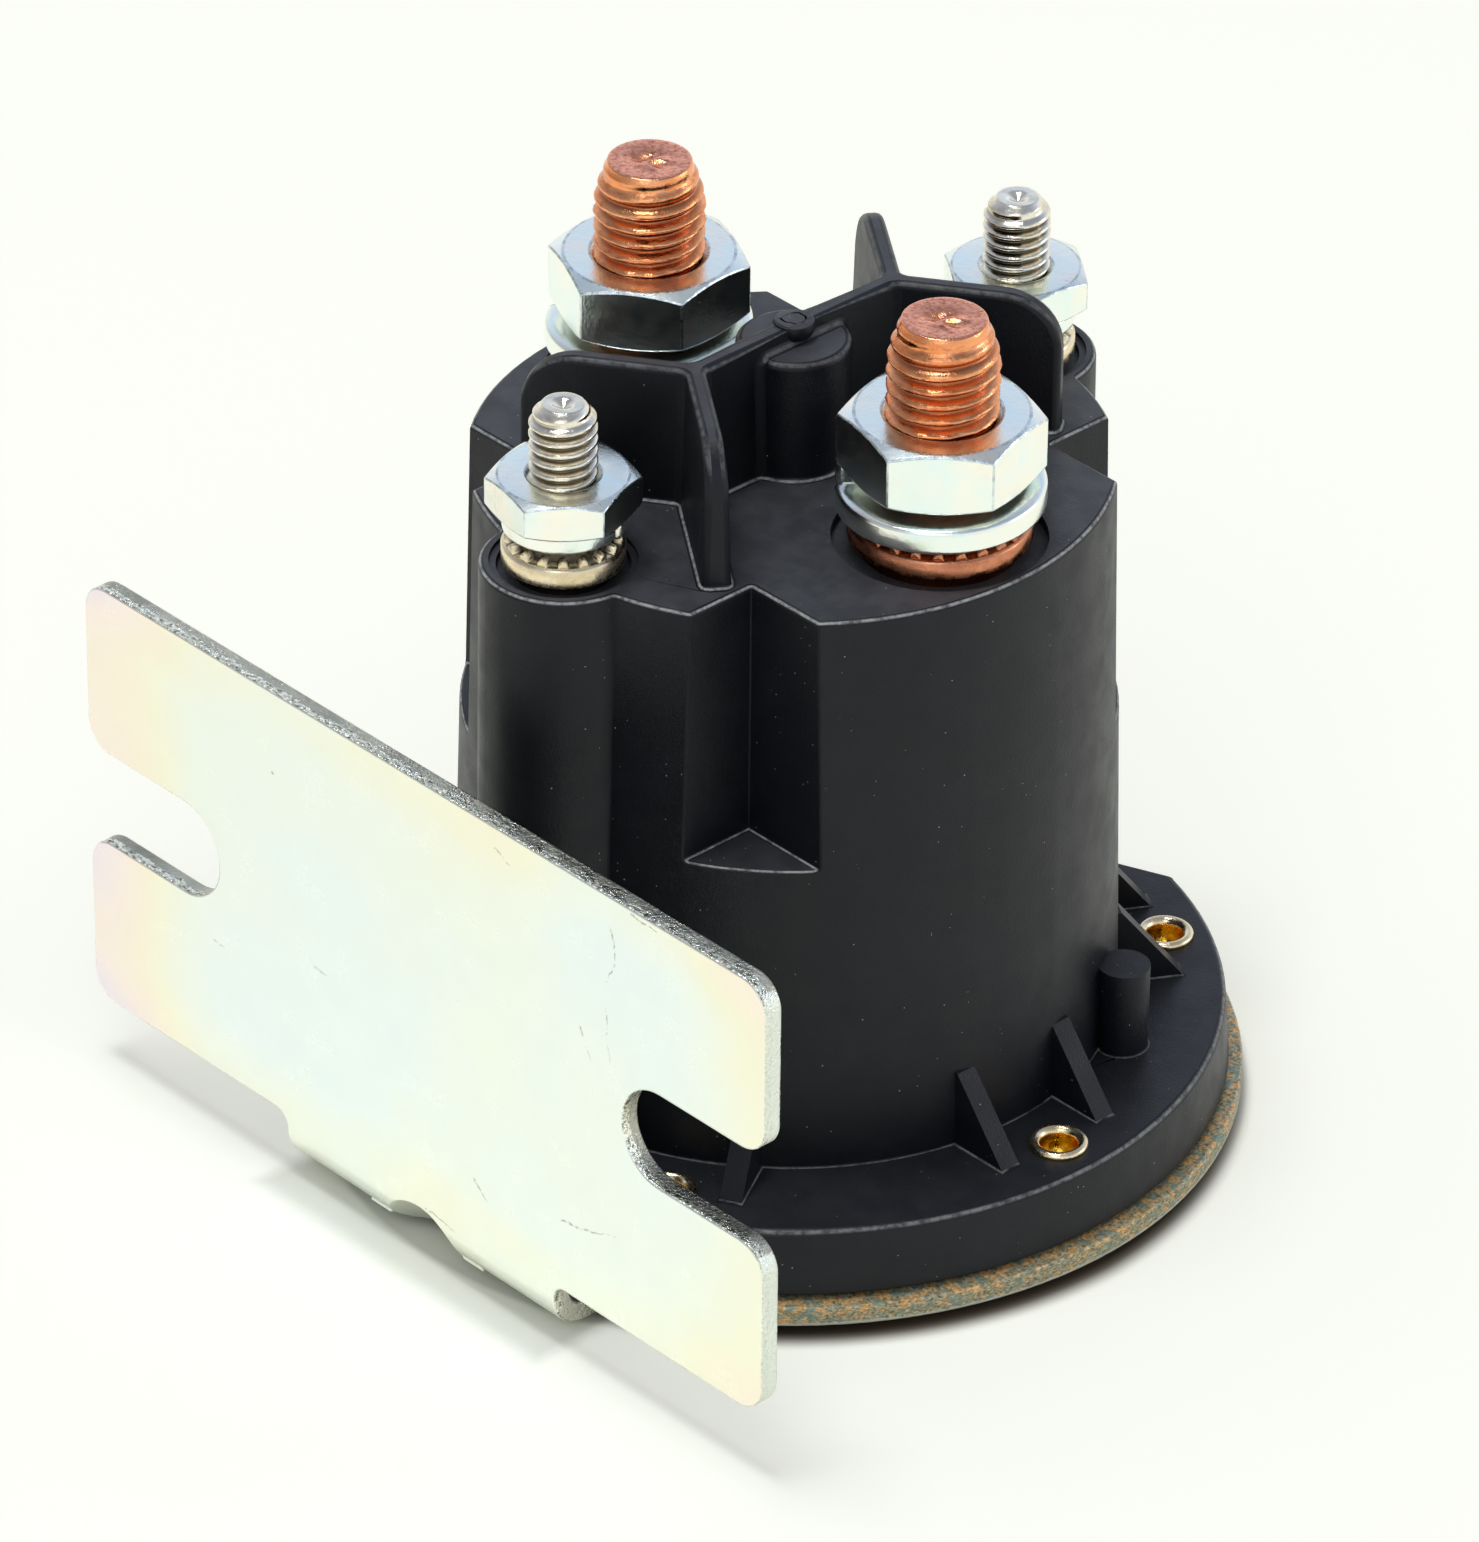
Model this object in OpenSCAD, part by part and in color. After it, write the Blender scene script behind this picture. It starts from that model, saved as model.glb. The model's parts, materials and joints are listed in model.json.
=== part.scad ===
// Continuous duty solenoid: a sealed four stud power relay on a bent steel bracket.
// +Z runs up the coil axis, the two main studs lie along X and the bracket plate faces -Y.
// The origin is on the coil axis, at the underside of the base disc.

/* [Base bracket] */
// Thickness of the pressed steel sheet
sheet_t = 1.55; // [1.2:0.05:2]
// Reach of the base disc past the flange
disc_lip = 1; // [0.5:0.1:1.6]
// Distance from the disc's rim to the outer face of the upright plate
plate_gap = 2.1; // [1.7:0.1:6.7]
// Half the length of the upright plate
plate_half = 35.6; // [34:0.1:45]
// Height of the lower edge of the plate's arms
plate_low = 4.3; // [4:0.1:6]
// Height of the upper edge of the plate
plate_top = 39.5; // [36:0.1:46]
// Width of the two open ended mounting slots
slot_w = 7.6; // [6.4:0.1:9]
// Distance from the middle of the plate to the closed end of a slot
slot_end = 21.3; // [19:0.1:25]
// Corner radius of the plate's arms
arm_corner_r = 2.3; // [1:0.1:3]
// Half the width of the neck between disc and plate
neck_half = 14.3; // [10:0.1:18]
// Inside radius of the bend
bend_r = 1.5; // [1:0.1:1.9]
// Fillet between the neck and the arms
neck_fillet = 1.2; // [0.6:0.1:1.2]
// Radius of the stamped stiffening dimple in the bend
dimple_r = 6; // [4:0.1:7]
// Depth of the dimple at the middle of the bend
dimple_depth = 1.3; // [0.6:0.1:1.5]

/* [Housing] */
// Height of the terminal deck above the underside of the base
deck_z = 51.6; // [50:0.1:56]
// Body radius where it meets the flange
body_low_r = 24.1; // [23.8:0.1:24.6]
// Narrowing of the body from the flange up to the terminal deck
body_draft = 1.1; // [0.5:0.1:1.5]
// Thickness of the body's wall at its foot
body_wall = 2.8; // [2.5:0.1:3]
// Reach of the flange's lower edge past the body
flange_reach = 8.2; // [7.8:0.1:8.6]
// Narrowing of the flange from its lower edge to its upper edge
flange_draft = 0.4; // [0.2:0.1:0.8]
// Height of the flange's upper face above the underside of the base
flange_z = 7.15; // [6:0.05:8]
// Distance from the body to the bottom of the two V cuts in the flange
cut_gap = 2.7; // [2.3:0.1:3.9]
// Slope of the sides of the V cuts, in degrees
cut_slope = 22.6; // [15:0.1:30]
// Distance of the corner notches' faces from the axis along X
notch_x = 11.27; // [11:0.01:12.5]
// Distance of the corner notches' faces from the axis along Y
notch_y = 14.35; // [14:0.01:15.5]
// Height of the floor of the corner notches
notch_z = 31.7; // [31:0.1:36]
// Radius of the coil terminal bosses at the deck
boss_top_r = 5.9; // [5.7:0.1:6.4]
// Radius of the coil terminal bosses at their foot
boss_low_r = 6.3; // [6:0.1:6.8]
// Thickness of the terminal deck
deck_t = 4.6; // [4:0.1:5.5]
// Height of the step where the coil space ends
coil_space_z = 29.2; // [29.2:0.1:29.4]
// Width of the step between the coil space and the contact chamber
step_w = 5.7; // [5.3:0.1:7.3]
// Reach of the contact chamber past each main stud's axis
chamber_end = 5.3; // [5.2:0.1:5.5]
// Half the width of the contact chamber's long bay
chamber_half = 11.5; // [8:0.1:11.5]
// Radius of the wells inside the coil terminal bosses
well_r = 3.3; // [3.3:0.05:3.5]
// Half the width of the wire channel from the chamber to each well
channel_half = 1.6; // [1.2:0.1:2]

/* [Barrier] */
// Height of the top of the barrier between the terminals
barrier_z = 62.2; // [58:0.1:66]
// Thickness of the barrier at its top
barrier_top_t = 1.5; // [1.2:0.1:2]
// Thickness of the barrier at the deck
barrier_low_t = 2.1; // [1.8:0.1:2.6]
// Distance from the axis to each fork of the barrier
fork_y = 9.4; // [8:0.1:11]
// Angle of the barrier's wings from the X axis
wing_angle = 35; // [28:1:37]
// Length of a wing from its fork
wing_len = 12.3; // [9:0.1:12.4]
// Corner radius at the upper outer end of a wing
wing_corner_r = 4.2; // [2:0.1:6]
// Radius of the column in the middle of the barrier
column_r = 4.1; // [3:0.1:5]
// Drop from the barrier's top to the top of the column
column_drop = 1.2; // [0.5:0.1:3]
// Radius of the raised mould mark on the barrier
gate_r = 1.35; // [0.8:0.05:2]
// Height of the raised mould mark
gate_h = 0.25; // [0.1:0.05:0.5]

/* [Flange details] */
// Distance from the body to the axis of each rivet
rivet_gap = 4.3; // [4.2:0.1:4.7]
// Number of rivets round the flange
rivet_count = 6; // [6]
// Half the distance between the two ribs beside a rivet
rib_half_gap = 4.65; // [4:0.05:5]
// Thickness of a rib
rib_t = 1.65; // [1:0.05:2]
// Height of the ribs' upper corner above the underside of the base
rib_top_z = 13.2; // [11:0.1:16]
// Distance of a rib's upper corner inside the body's foot radius
rib_lean = 0.5; // [0.3:0.1:0.9]
// Depth of a rib's root inside the body wall
rib_root = 1.2; // [0.8:0.1:1.4]
// Radius of the locating post
post_r = 1.9; // [1.5:0.1:2.2]
// Distance from the body to the axis of the locating post
post_gap = 1.3; // [0.9:0.1:2.9]
// Angle of the locating post from the X axis
post_angle = 29; // [25:1:35]
// Height of the post's top above the underside of the base
post_z = 14; // [10:0.1:18]
// Thickness of the flange gasket
gasket_t = 0.4; // [0.3:0.05:0.6]
// Distance that the gasket stays inside the flange's edge
gasket_inset = 0.7; // [0.4:0.1:1.2]

/* [Rivets] */
// Radius of a rivet's shank
rivet_r = 1.75; // [1.5:0.05:1.9]
// Radius of the hollow in the rivet's upper end
rivet_bore_r = 1.3; // [1:0.05:1.4]
// Depth of the hollow
rivet_bore_depth = 3.5; // [2:0.1:4.5]
// Radius of the rolled rim
rivet_rim_r = 2.05; // [1.9:0.05:2.2]
// Height of the rolled rim
rivet_rim_h = 0.5; // [0.3:0.05:0.8]
// Radius of the low head under the base disc
rivet_head_r = 3; // [2.4:0.1:3.6]
// Height of the low head
rivet_head_h = 0.8; // [0.5:0.1:1.2]

/* [Main terminals] */
// Distance from the axis to each main stud
main_x = 15; // [14.8:0.05:15.2]
// Major radius of the main studs' thread
main_r = 3.97; // [3.5:0.01:4]
// Root radius of the main studs' thread
main_root_r = 3.38; // [3:0.01:3.4]
// Pitch of the main studs' thread
main_pitch = 1.058; // [0.9:0.001:1.25]
// Length of a main stud above its nut
main_free = 7.39; // [4:0.01:12]
// Radius of the main studs' flat end
main_tip_r = 3.1; // [2.6:0.05:3.3]
// Length of the cone at a main stud's end
main_tip_h = 2.2; // [1:0.05:2.4]
// Radius of the main studs' inner heads
main_head_r = 5; // [4.8:0.05:5]
// Half the distance across the flats of the inner heads
main_head_flat = 4.2; // [4:0.05:4.6]
// Thickness of the inner heads
main_head_t = 2.6; // [2:0.1:3]
// Thickness of the gasket between an inner head and the deck
stud_gasket_t = 0.8; // [0.5:0.1:1.2]
// Clearance round a main collar's foot in its sunk seat
main_seat_gap = 1.1; // [0.5:0.1:1.5]
// Depth of the sunk seats
seat_depth = 0.8; // [0.5:0.1:1.2]
// Radius of a main collar's plain foot
main_collar_r = 6.5; // [6:0.1:6.9]
// Height of a main collar's plain foot
main_foot_h = 2.3; // [1.5:0.1:3]
// Height of a main collar's toothed part
main_tooth_h = 1.3; // [1:0.1:2]
// Distance of a main collar's teeth inside its foot's radius
main_tooth_set = 0.2; // [0.1:0.05:0.7]
// Number of teeth on a main collar
main_teeth = 27; // [20:1:32]
// Outer radius of a main lock washer
main_washer_r = 7.4; // [7:0.05:7.5]
// Thickness of a main lock washer
main_washer_t = 2; // [1.6:0.05:2.2]
// Rise of the raised end of a main lock washer
main_washer_rise = 0.45; // [0.2:0.05:0.8]
// Main nut size across its flats
main_nut_af = 12.7; // [12:0.05:13]
// Height of a main nut
main_nut_h = 4.76; // [4:0.01:6.8]

/* [Coil terminals] */
// Distance of each coil stud's axis inside the body's foot radius
coil_inset = 2.5; // [2.4:0.05:2.6]
// Major radius of the coil studs' thread
coil_r = 2.41; // [2:0.01:2.45]
// Root radius of the coil studs' thread
coil_root_r = 1.97; // [1.6:0.01:2]
// Pitch of the coil studs' thread
coil_pitch = 0.794; // [0.7:0.001:0.9]
// Length of a coil stud above its nut
coil_free = 5.55; // [3:0.01:9]
// Radius of the coil studs' flat end
coil_tip_r = 1.4; // [1:0.05:1.9]
// Length of the cone at a coil stud's end
coil_tip_h = 1.4; // [0.6:0.05:1.5]
// Radius of the conical dimple in the coil studs' ends
coil_dimple_r = 0.9; // [0.5:0.05:0.9]
// Radius across the corners of the coil studs' hexagon heads
coil_head_r = 3; // [2.8:0.05:3]
// Thickness of the coil studs' inner heads
coil_head_t = 2.4; // [1.8:0.1:3]
// Clearance round a coil collar's foot in its sunk seat
coil_seat_gap = 0.35; // [0.2:0.05:0.5]
// Width of the shallow step round that seat
coil_step_w = 0.5; // [0.4:0.05:0.6]
// Depth of the shallow step
coil_step_depth = 0.3; // [0.2:0.05:0.5]
// Radius of a coil collar's plain foot
coil_collar_r = 4.35; // [4:0.05:4.4]
// Height of a coil collar's plain foot
coil_foot_h = 1.8; // [1.2:0.1:2.4]
// Height of a coil collar's toothed part
coil_tooth_h = 1.6; // [1:0.1:2]
// Distance of a coil collar's teeth inside its foot's radius
coil_tooth_set = 0.2; // [0.15:0.05:0.45]
// Number of teeth on a coil collar
coil_teeth = 20; // [16:1:24]
// Outer radius of a coil lock washer
coil_washer_r = 4.3; // [4.1:0.05:4.5]
// Thickness of a coil lock washer
coil_washer_t = 1.2; // [1:0.05:1.4]
// Rise of the raised end of a coil lock washer
coil_washer_rise = 0.35; // [0.2:0.05:0.6]
// Coil nut size across its flats
coil_nut_af = 9.5; // [9:0.05:9.8]
// Height of a coil nut
coil_nut_h = 2.8; // [2.4:0.05:3.2]

/* [Coil and plunger] */
// Clearance between the steel can and the body
can_gap = 0.4; // [0.3:0.1:0.6]
// Wall thickness of the can
can_t = 1.2; // [1:0.1:1.3]
// Thickness of the flux plate on top of the coil
flux_t = 2.2; // [1.8:0.1:2.6]
// Radius of the plunger and of the fixed pole
plunger_r = 6.2; // [5.6:0.05:6.4]
// Length of the plunger
plunger_len = 13; // [12:0.1:14]
// Travel of the plunger up to the fixed pole
plunger_travel = 3; // [2.5:0.05:3.2]
// Thickness of the rest pad under the plunger
pad_t = 0.5; // [0.3:0.05:0.8]
// Wall thickness of the guide sleeve
sleeve_t = 0.62; // [0.5:0.01:0.7]
// Radius of the fixed pole's neck in the flux plate
pole_neck_r = 5; // [4:0.1:5.4]
// Radius of the plunger rod
rod_r = 1.7; // [1.5:0.05:1.9]
// Radius of the rod's lower head
rod_head_r = 2.6; // [2.2:0.1:3]
// Height of the rod's lower head
rod_head_h = 1.2; // [0.8:0.1:1.6]
// Radius of the spring pocket in the plunger
pocket_r = 4.2; // [4:0.1:4.5]
// Depth of the spring pocket in the plunger
pocket_depth = 6; // [5:0.1:7]
// Mean radius of the return spring
return_mean_r = 3.3; // [3.1:0.05:3.5]
// Wire radius of the return spring
return_wire_r = 0.35; // [0.25:0.01:0.4]
// Number of rings that stand for the return spring's turns
return_turns = 6; // [4:1:7]
// Thickness of the bobbin's flanges
bobbin_t = 1.2; // [1:0.1:1.4]
// Wall thickness of the bobbin's tube
bobbin_wall = 0.9; // [0.7:0.05:1.1]
// Clearance between the bobbin's flanges and the can
bobbin_gap = 0.3; // [0.2:0.1:0.7]
// Distance of the winding's surface inside the bobbin's flanges
winding_inset = 1.6; // [1.6:0.1:3.4]
// Thickness of the tape round the winding
tape_t = 0.25; // [0.15:0.05:0.3]
// Radius of a coil lead
lead_r = 0.55; // [0.4:0.05:0.55]
// Distance of a lead's upright part inside the bobbin's flanges
lead_inset = 0.7; // [0.6:0.01:0.7]
// Height of the lower end of a lead
lead_low_z = 21; // [18:0.1:23]
// Height at which a lead bends towards its stud
lead_bend_z = 38; // [34:0.1:40]
// Height at which a lead meets the stud's axis
lead_top_z = 42.2; // [41:0.1:43]

/* [Contacts] */
// Gap between the moving contact and the tips at rest
contact_gap = 2.4; // [2:0.05:2.6]
// Reach of the moving contact past each main stud's axis
contact_end = 3.9; // [3.6:0.1:4.5]
// Half the width of the moving contact
contact_half_w = 5; // [4:0.1:6]
// Thickness of the moving contact
contact_t = 2; // [1.5:0.1:2.4]
// Radius of the fixed contact tips
tip_r = 3.4; // [2.8:0.1:3.6]
// Thickness of the fixed contact tips
tip_t = 0.6; // [0.4:0.05:0.8]
// Radius of the hub that carries the moving contact
hub_r = 2.9; // [2.6:0.05:3.1]
// Radius of the flange of the lower contact seat
seat_flange_r = 5; // [4.4:0.1:5.6]
// Thickness of the flange of the lower contact seat
seat_flange_t = 1.2; // [1:0.1:1.4]
// Radius of the upper contact collar
top_collar_r = 4.6; // [4:0.1:5]
// Thickness of the upper contact collar
top_collar_t = 1; // [0.8:0.1:1.2]
// Radius of the retaining clip
clip_r = 3.3; // [2.8:0.1:3.6]
// Thickness of the retaining clip
clip_t = 0.7; // [0.5:0.05:0.9]
// Radius of the rod in the clip's groove
clip_groove_r = 1.25; // [1.1:0.05:1.35]
// Length of the rod's end above the clip
rod_end_h = 0.9; // [0.6:0.1:1]
// Radius of the shoulder that carries the contact spring
shoulder_r = 3; // [2.6:0.1:3.4]
// Thickness of that shoulder
shoulder_t = 0.8; // [0.6:0.1:1]
// Height of the shoulder's upper face at rest
shoulder_z = 31.3; // [31.2:0.1:32]
// Mean radius of the contact spring
contact_mean_r = 2.4; // [2.3:0.05:2.6]
// Wire radius of the contact spring
contact_wire_r = 0.35; // [0.25:0.01:0.4]
// Number of rings that stand for the contact spring's turns
contact_turns = 5; // [4:1:6]
// Thickness of the insulating disc on the flux plate
disc_t = 1; // [0.6:0.1:1]
// Clearance between the insulating disc and the chamber
disc_gap = 0.3; // [0.3:0.1:1.6]

/* [Fits] */
// Radial running clearance of the sliding pieces
running = 0.05; // [0.03:0.01:0.08]
// Radial clearance of bores round fixed studs and necks
fixed_fit = 0.06; // [0.03:0.01:0.1]
// Radial clearance of the bobbin on the guide sleeve
loose = 0.12; // [0.08:0.01:0.2]
// Length by which joined solids run into each other
lap = 0.4; // [0.3:0.05:0.6]

/* [Hidden] */
$fn = 72;
// Overrun of cutting shapes, enough to pass right through the body
over = body_low_r;
body_top_r = body_low_r - body_draft;
flange_low_r = body_low_r + flange_reach;
flange_top_r = flange_low_r - flange_draft;
disc_r = flange_low_r + disc_lip;
plate_face = disc_r + plate_gap;
cut_depth_y = body_low_r + cut_gap;
rivet_circle = body_low_r + rivet_gap;
rib_top_s = body_low_r - rib_lean;
post_circle = body_low_r + post_gap;
coil_y = body_low_r - coil_inset;
coil_space_r = body_low_r - body_wall;
chamber_r = coil_space_r - step_w;
can_r = coil_space_r - can_gap;
bobbin_r = can_r - can_t - bobbin_gap;
winding_r = bobbin_r - winding_inset;
lead_y = bobbin_r - lead_inset;
chamber_reach = main_x + chamber_end;
contact_half_len = main_x + contact_end;
disc_out_r = chamber_r - disc_gap;
main_seat_r = main_collar_r + main_seat_gap;
main_tooth_r = main_collar_r - main_tooth_set;
coil_seat_r = coil_collar_r + coil_seat_gap;
coil_step_r = coil_seat_r + coil_step_w;
coil_tooth_r = coil_collar_r - coil_tooth_set;
plate_in = plate_face - sheet_t;
bend_out_r = bend_r + sheet_t;
slot_r = slot_w / 2;
slot_z = (plate_low + plate_top) / 2;
housing_z = sheet_t + gasket_t;
ceiling_z = deck_z - deck_t;
head_top_z = ceiling_z - stud_gasket_t;
head_low_z = head_top_z - main_head_t;
tip_low_z = head_low_z - tip_t;
contact_top_z = tip_low_z - contact_gap;
contact_low_z = contact_top_z - contact_t;
seat_low_z = contact_low_z - seat_flange_t;
clip_low_z = contact_top_z + top_collar_t;
rod_top_z = clip_low_z + clip_t + rod_end_h;
well_top_z = ceiling_z - lap / 2;
coil_head_low_z = well_top_z - coil_head_t;
seat_z = deck_z - seat_depth;
flux_top_z = coil_space_z - lap / 2;
flux_low_z = flux_top_z - flux_t;
plunger_low_z = sheet_t + pad_t;
plunger_top_z = plunger_low_z + plunger_len;
pole_low_z = plunger_top_z + plunger_travel;
main_nut_z = seat_z + main_foot_h + main_tooth_h + main_washer_t + main_washer_rise;
main_top_z = main_nut_z + main_nut_h + main_free;
coil_nut_z = seat_z + coil_foot_h + coil_tooth_h + coil_washer_t + coil_washer_rise;
coil_top_z = coil_nut_z + coil_nut_h + coil_free;
pocket_z = plunger_top_z - pocket_depth;
sleeve_in_r = plunger_r + running;
sleeve_out_r = sleeve_in_r + sleeve_t;
bobbin_in_r = sleeve_out_r + loose;
bobbin_tube_r = bobbin_in_r + bobbin_wall;
bobbin_low_z = sheet_t + lap / 4;
bobbin_top_z = flux_low_z - lap / 4;
rod_hole_r = rod_r + running;
// Share of the tooth height that is cut away between the teeth
tooth_gap_share = 0.5;
// Share of the collar's tooth radius at the root of the teeth
tooth_root_share = 0.88;
// Shares of the thread pitch taken by the crest and by the root
crest_share = 0.2;
root_share = 0.2;
// Depth of a stud's end dimple as a share of its radius
dimple_share = 0.6;
// Angle of the cut in a lock washer, and of its raised end
split_angle = 9;
raised_angle = 75;
// Share of a nut's height that the corner chamfer takes
chamfer_share = 0.12;
// Share by which a lead swells at its bends
knuckle_share = 1.1;
// Turn of each nut about its stud, and of each washer's cut
main_nut_turns = [45.4, 36.2];
coil_nut_turns = [48.6, 25];
main_splits = [225, 205];
coil_splits = [20, 200];

// Ring between two radii, from one height to another
module ring(outer, inner, low, high) {
    translate([0, 0, low]) difference() {
        cylinder(r = outer, h = high - low);
        translate([0, 0, -lap]) cylinder(r = inner, h = high - low + 2 * lap);
    }
}

// Flat plan shape with rounded corners, centred on the X axis
module rounded_strip(half_len, low, high, r) {
    translate([-half_len, low + r]) square([2 * half_len, high - low - 2 * r]);
    translate([-half_len + r, low]) square([2 * half_len - 2 * r, high - low]);
    for (side = [-1, 1], level = [low + r, high - r])
        translate([side * (half_len - r), level]) circle(r = r);
}

// Stud shaft: a shank at the thread's mean radius, a thread above thread_low and a coned end.
// Inside the nut the two threads meet at that mean radius.
module threaded_shaft(r, root_r, pitch, low, thread_low, top, tip_r, tip_h, dimple_r) {
    shank_r = (r + root_r) / 2;
    crest = pitch * crest_share;
    root = pitch * root_share;
    flank = (pitch - crest - root) / 2;
    thread_top = top - tip_h;
    grooves = floor((thread_top - crest - flank / 2 - thread_low) / pitch);
    first = thread_top - crest - grooves * pitch;
    rotate_extrude() polygon(concat(
        [[0, low], [shank_r, low], [shank_r, first - flank / 2], [r, first]],
        [for (i = [0 : grooves - 1]) let (start = first + crest + i * pitch)
            each [[r, start], [root_r, start + flank], [root_r, start + flank + root],
                [r, start + flank + root + flank]]],
        [[r, thread_top], [tip_r, top]],
        dimple_r > 0 ? [[dimple_r, top], [0, top - dimple_r * dimple_share]] : [[0, top]]));
}

// Hexagon nut with chamfered corners on both faces
module hex_nut(af, h, bore_r) {
    corner_r = af / sqrt(3);
    cut = h * chamfer_share;
    difference() {
        intersection() {
            cylinder(r = corner_r, h = h, $fn = 6);
            rotate_extrude() polygon([[0, 0], [af / 2 - lap / 4, 0], [corner_r, cut],
                [corner_r, h - cut], [af / 2 - lap / 4, h], [0, h]]);
        }
        translate([0, 0, -lap]) cylinder(r = bore_r, h = h + 2 * lap);
    }
}

// Sector of a ring, wider and taller than the washer that it cuts
module washer_cut(outer, inner, from, turn, low, high) {
    rotate([0, 0, from]) rotate_extrude(angle = turn) translate([inner - lap, low])
        square([outer - inner + 2 * lap, high - low]);
}

// Split spring washer, one end of it raised
module split_washer(outer, inner, t, rise) {
    start = split_angle / 2;
    difference() {
        ring(outer, inner, 0, t + rise);
        washer_cut(outer, inner, -start, split_angle, -lap, t + rise + lap);
        washer_cut(outer, inner, -start, 360 - raised_angle, t, t + rise + lap);
        washer_cut(outer, inner, -start - raised_angle, raised_angle, -lap, rise);
    }
}

// Collar with a plain foot and a toothed upper part
module toothed_collar(foot_r, foot_h, tooth_r, tooth_h, teeth, bore_r) {
    root_r = tooth_r * tooth_root_share;
    tooth_w = 2 * PI * tooth_r / teeth * (1 - tooth_gap_share);
    difference() {
        union() {
            cylinder(r = foot_r, h = foot_h);
            cylinder(r = root_r, h = foot_h + tooth_h);
            intersection() {
                translate([0, 0, foot_h - lap]) cylinder(r = tooth_r, h = tooth_h + lap);
                for (i = [0 : teeth - 1]) rotate([0, 0, i * 360 / teeth])
                    translate([root_r - lap, -tooth_w / 2, foot_h - lap / 2])
                        cube([tooth_r - root_r + 2 * lap, tooth_w, tooth_h + lap]);
            }
        }
        translate([0, 0, -lap]) cylinder(r = bore_r, h = foot_h + tooth_h + 2 * lap);
    }
}

// Stack of plain rings that stands for a wound spring
module ring_spring(mean_r, wire_r, turns, low, high) {
    step = (high - low - 2 * wire_r) / (turns - 1);
    rotate_extrude() union() {
        for (i = [0 : turns - 1]) translate([mean_r, low + wire_r + i * step]) circle(r = wire_r);
        translate([mean_r - wire_r / 2, low + wire_r]) square([wire_r, high - low - 2 * wire_r]);
    }
}

// Barrier wall that tapers upwards, with a rounded upper end
module barrier_wall(length, corner_r) {
    height = barrier_z - deck_z;
    intersection() {
        rotate([90, 0, 90]) linear_extrude(height = length) polygon([
            [-barrier_low_t / 2, -lap], [barrier_low_t / 2, -lap],
            [barrier_top_t / 2, height], [-barrier_top_t / 2, height]]);
        rotate([90, 0, 0]) translate([0, 0, -over / 2]) linear_extrude(height = over) union() {
            translate([-lap, -2 * lap]) square([length - corner_r + lap, height + 2 * lap]);
            translate([-lap, -2 * lap]) square([length + lap, height + 2 * lap - corner_r]);
            translate([length - corner_r, height - corner_r]) circle(r = corner_r);
        }
    }
}

// Walls, wings, column and mould mark of the terminal barrier
module barrier() {
    height = barrier_z - deck_z;
    translate([0, 0, deck_z]) {
        rotate([90, 0, 0]) translate([0, 0, -fork_y]) linear_extrude(height = 2 * fork_y)
            polygon([[-barrier_low_t / 2, -lap], [barrier_low_t / 2, -lap],
                [barrier_top_t / 2, height], [-barrier_top_t / 2, height]]);
        for (side = [0, 180]) rotate([0, 0, side]) translate([0, fork_y, 0]) {
            rotate([0, 0, wing_angle]) barrier_wall(wing_len, wing_corner_r);
            rotate([0, 0, 180 - wing_angle]) barrier_wall(wing_len, wing_corner_r);
        }
        translate([0, 0, -lap]) cylinder(r = column_r, h = height - column_drop + lap);
        intersection() {
            translate([0, 0, height - lap]) cylinder(r = gate_r, h = gate_h + lap);
            cube([barrier_top_t, over, over], center = true);
        }
    }
}

// Places its children at each rivet, turned outwards
module at_rivets() {
    for (i = [0 : rivet_count - 1]) rotate([0, 0, i * 360 / rivet_count]) children();
}

// One upright rib that runs from the body to the flange
module rib() {
    rotate([90, 0, 0]) translate([0, 0, -rib_t / 2]) linear_extrude(height = rib_t) polygon([
        [rib_top_s - rib_root, flange_z - lap], [rivet_circle, flange_z - lap],
        [rivet_circle, flange_z], [rib_top_s, rib_top_z], [rib_top_s - rib_root, rib_top_z]]);
}

// Plan shape of the flange's two V cuts
module flange_cuts() {
    for (side = [0, 180]) rotate([0, 0, side]) translate([0, cut_depth_y])
        polygon([[0, 0], [over, over * tan(cut_slope)], [over, over], [-over, over],
            [-over, over * tan(cut_slope)]]);
}

// Plan shape of the space inside the coil terminal wells and round the coil
module coil_space(r) {
    circle(r = r);
    for (side = [-1, 1]) translate([0, side * coil_y]) circle(r = well_r);
}

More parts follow.
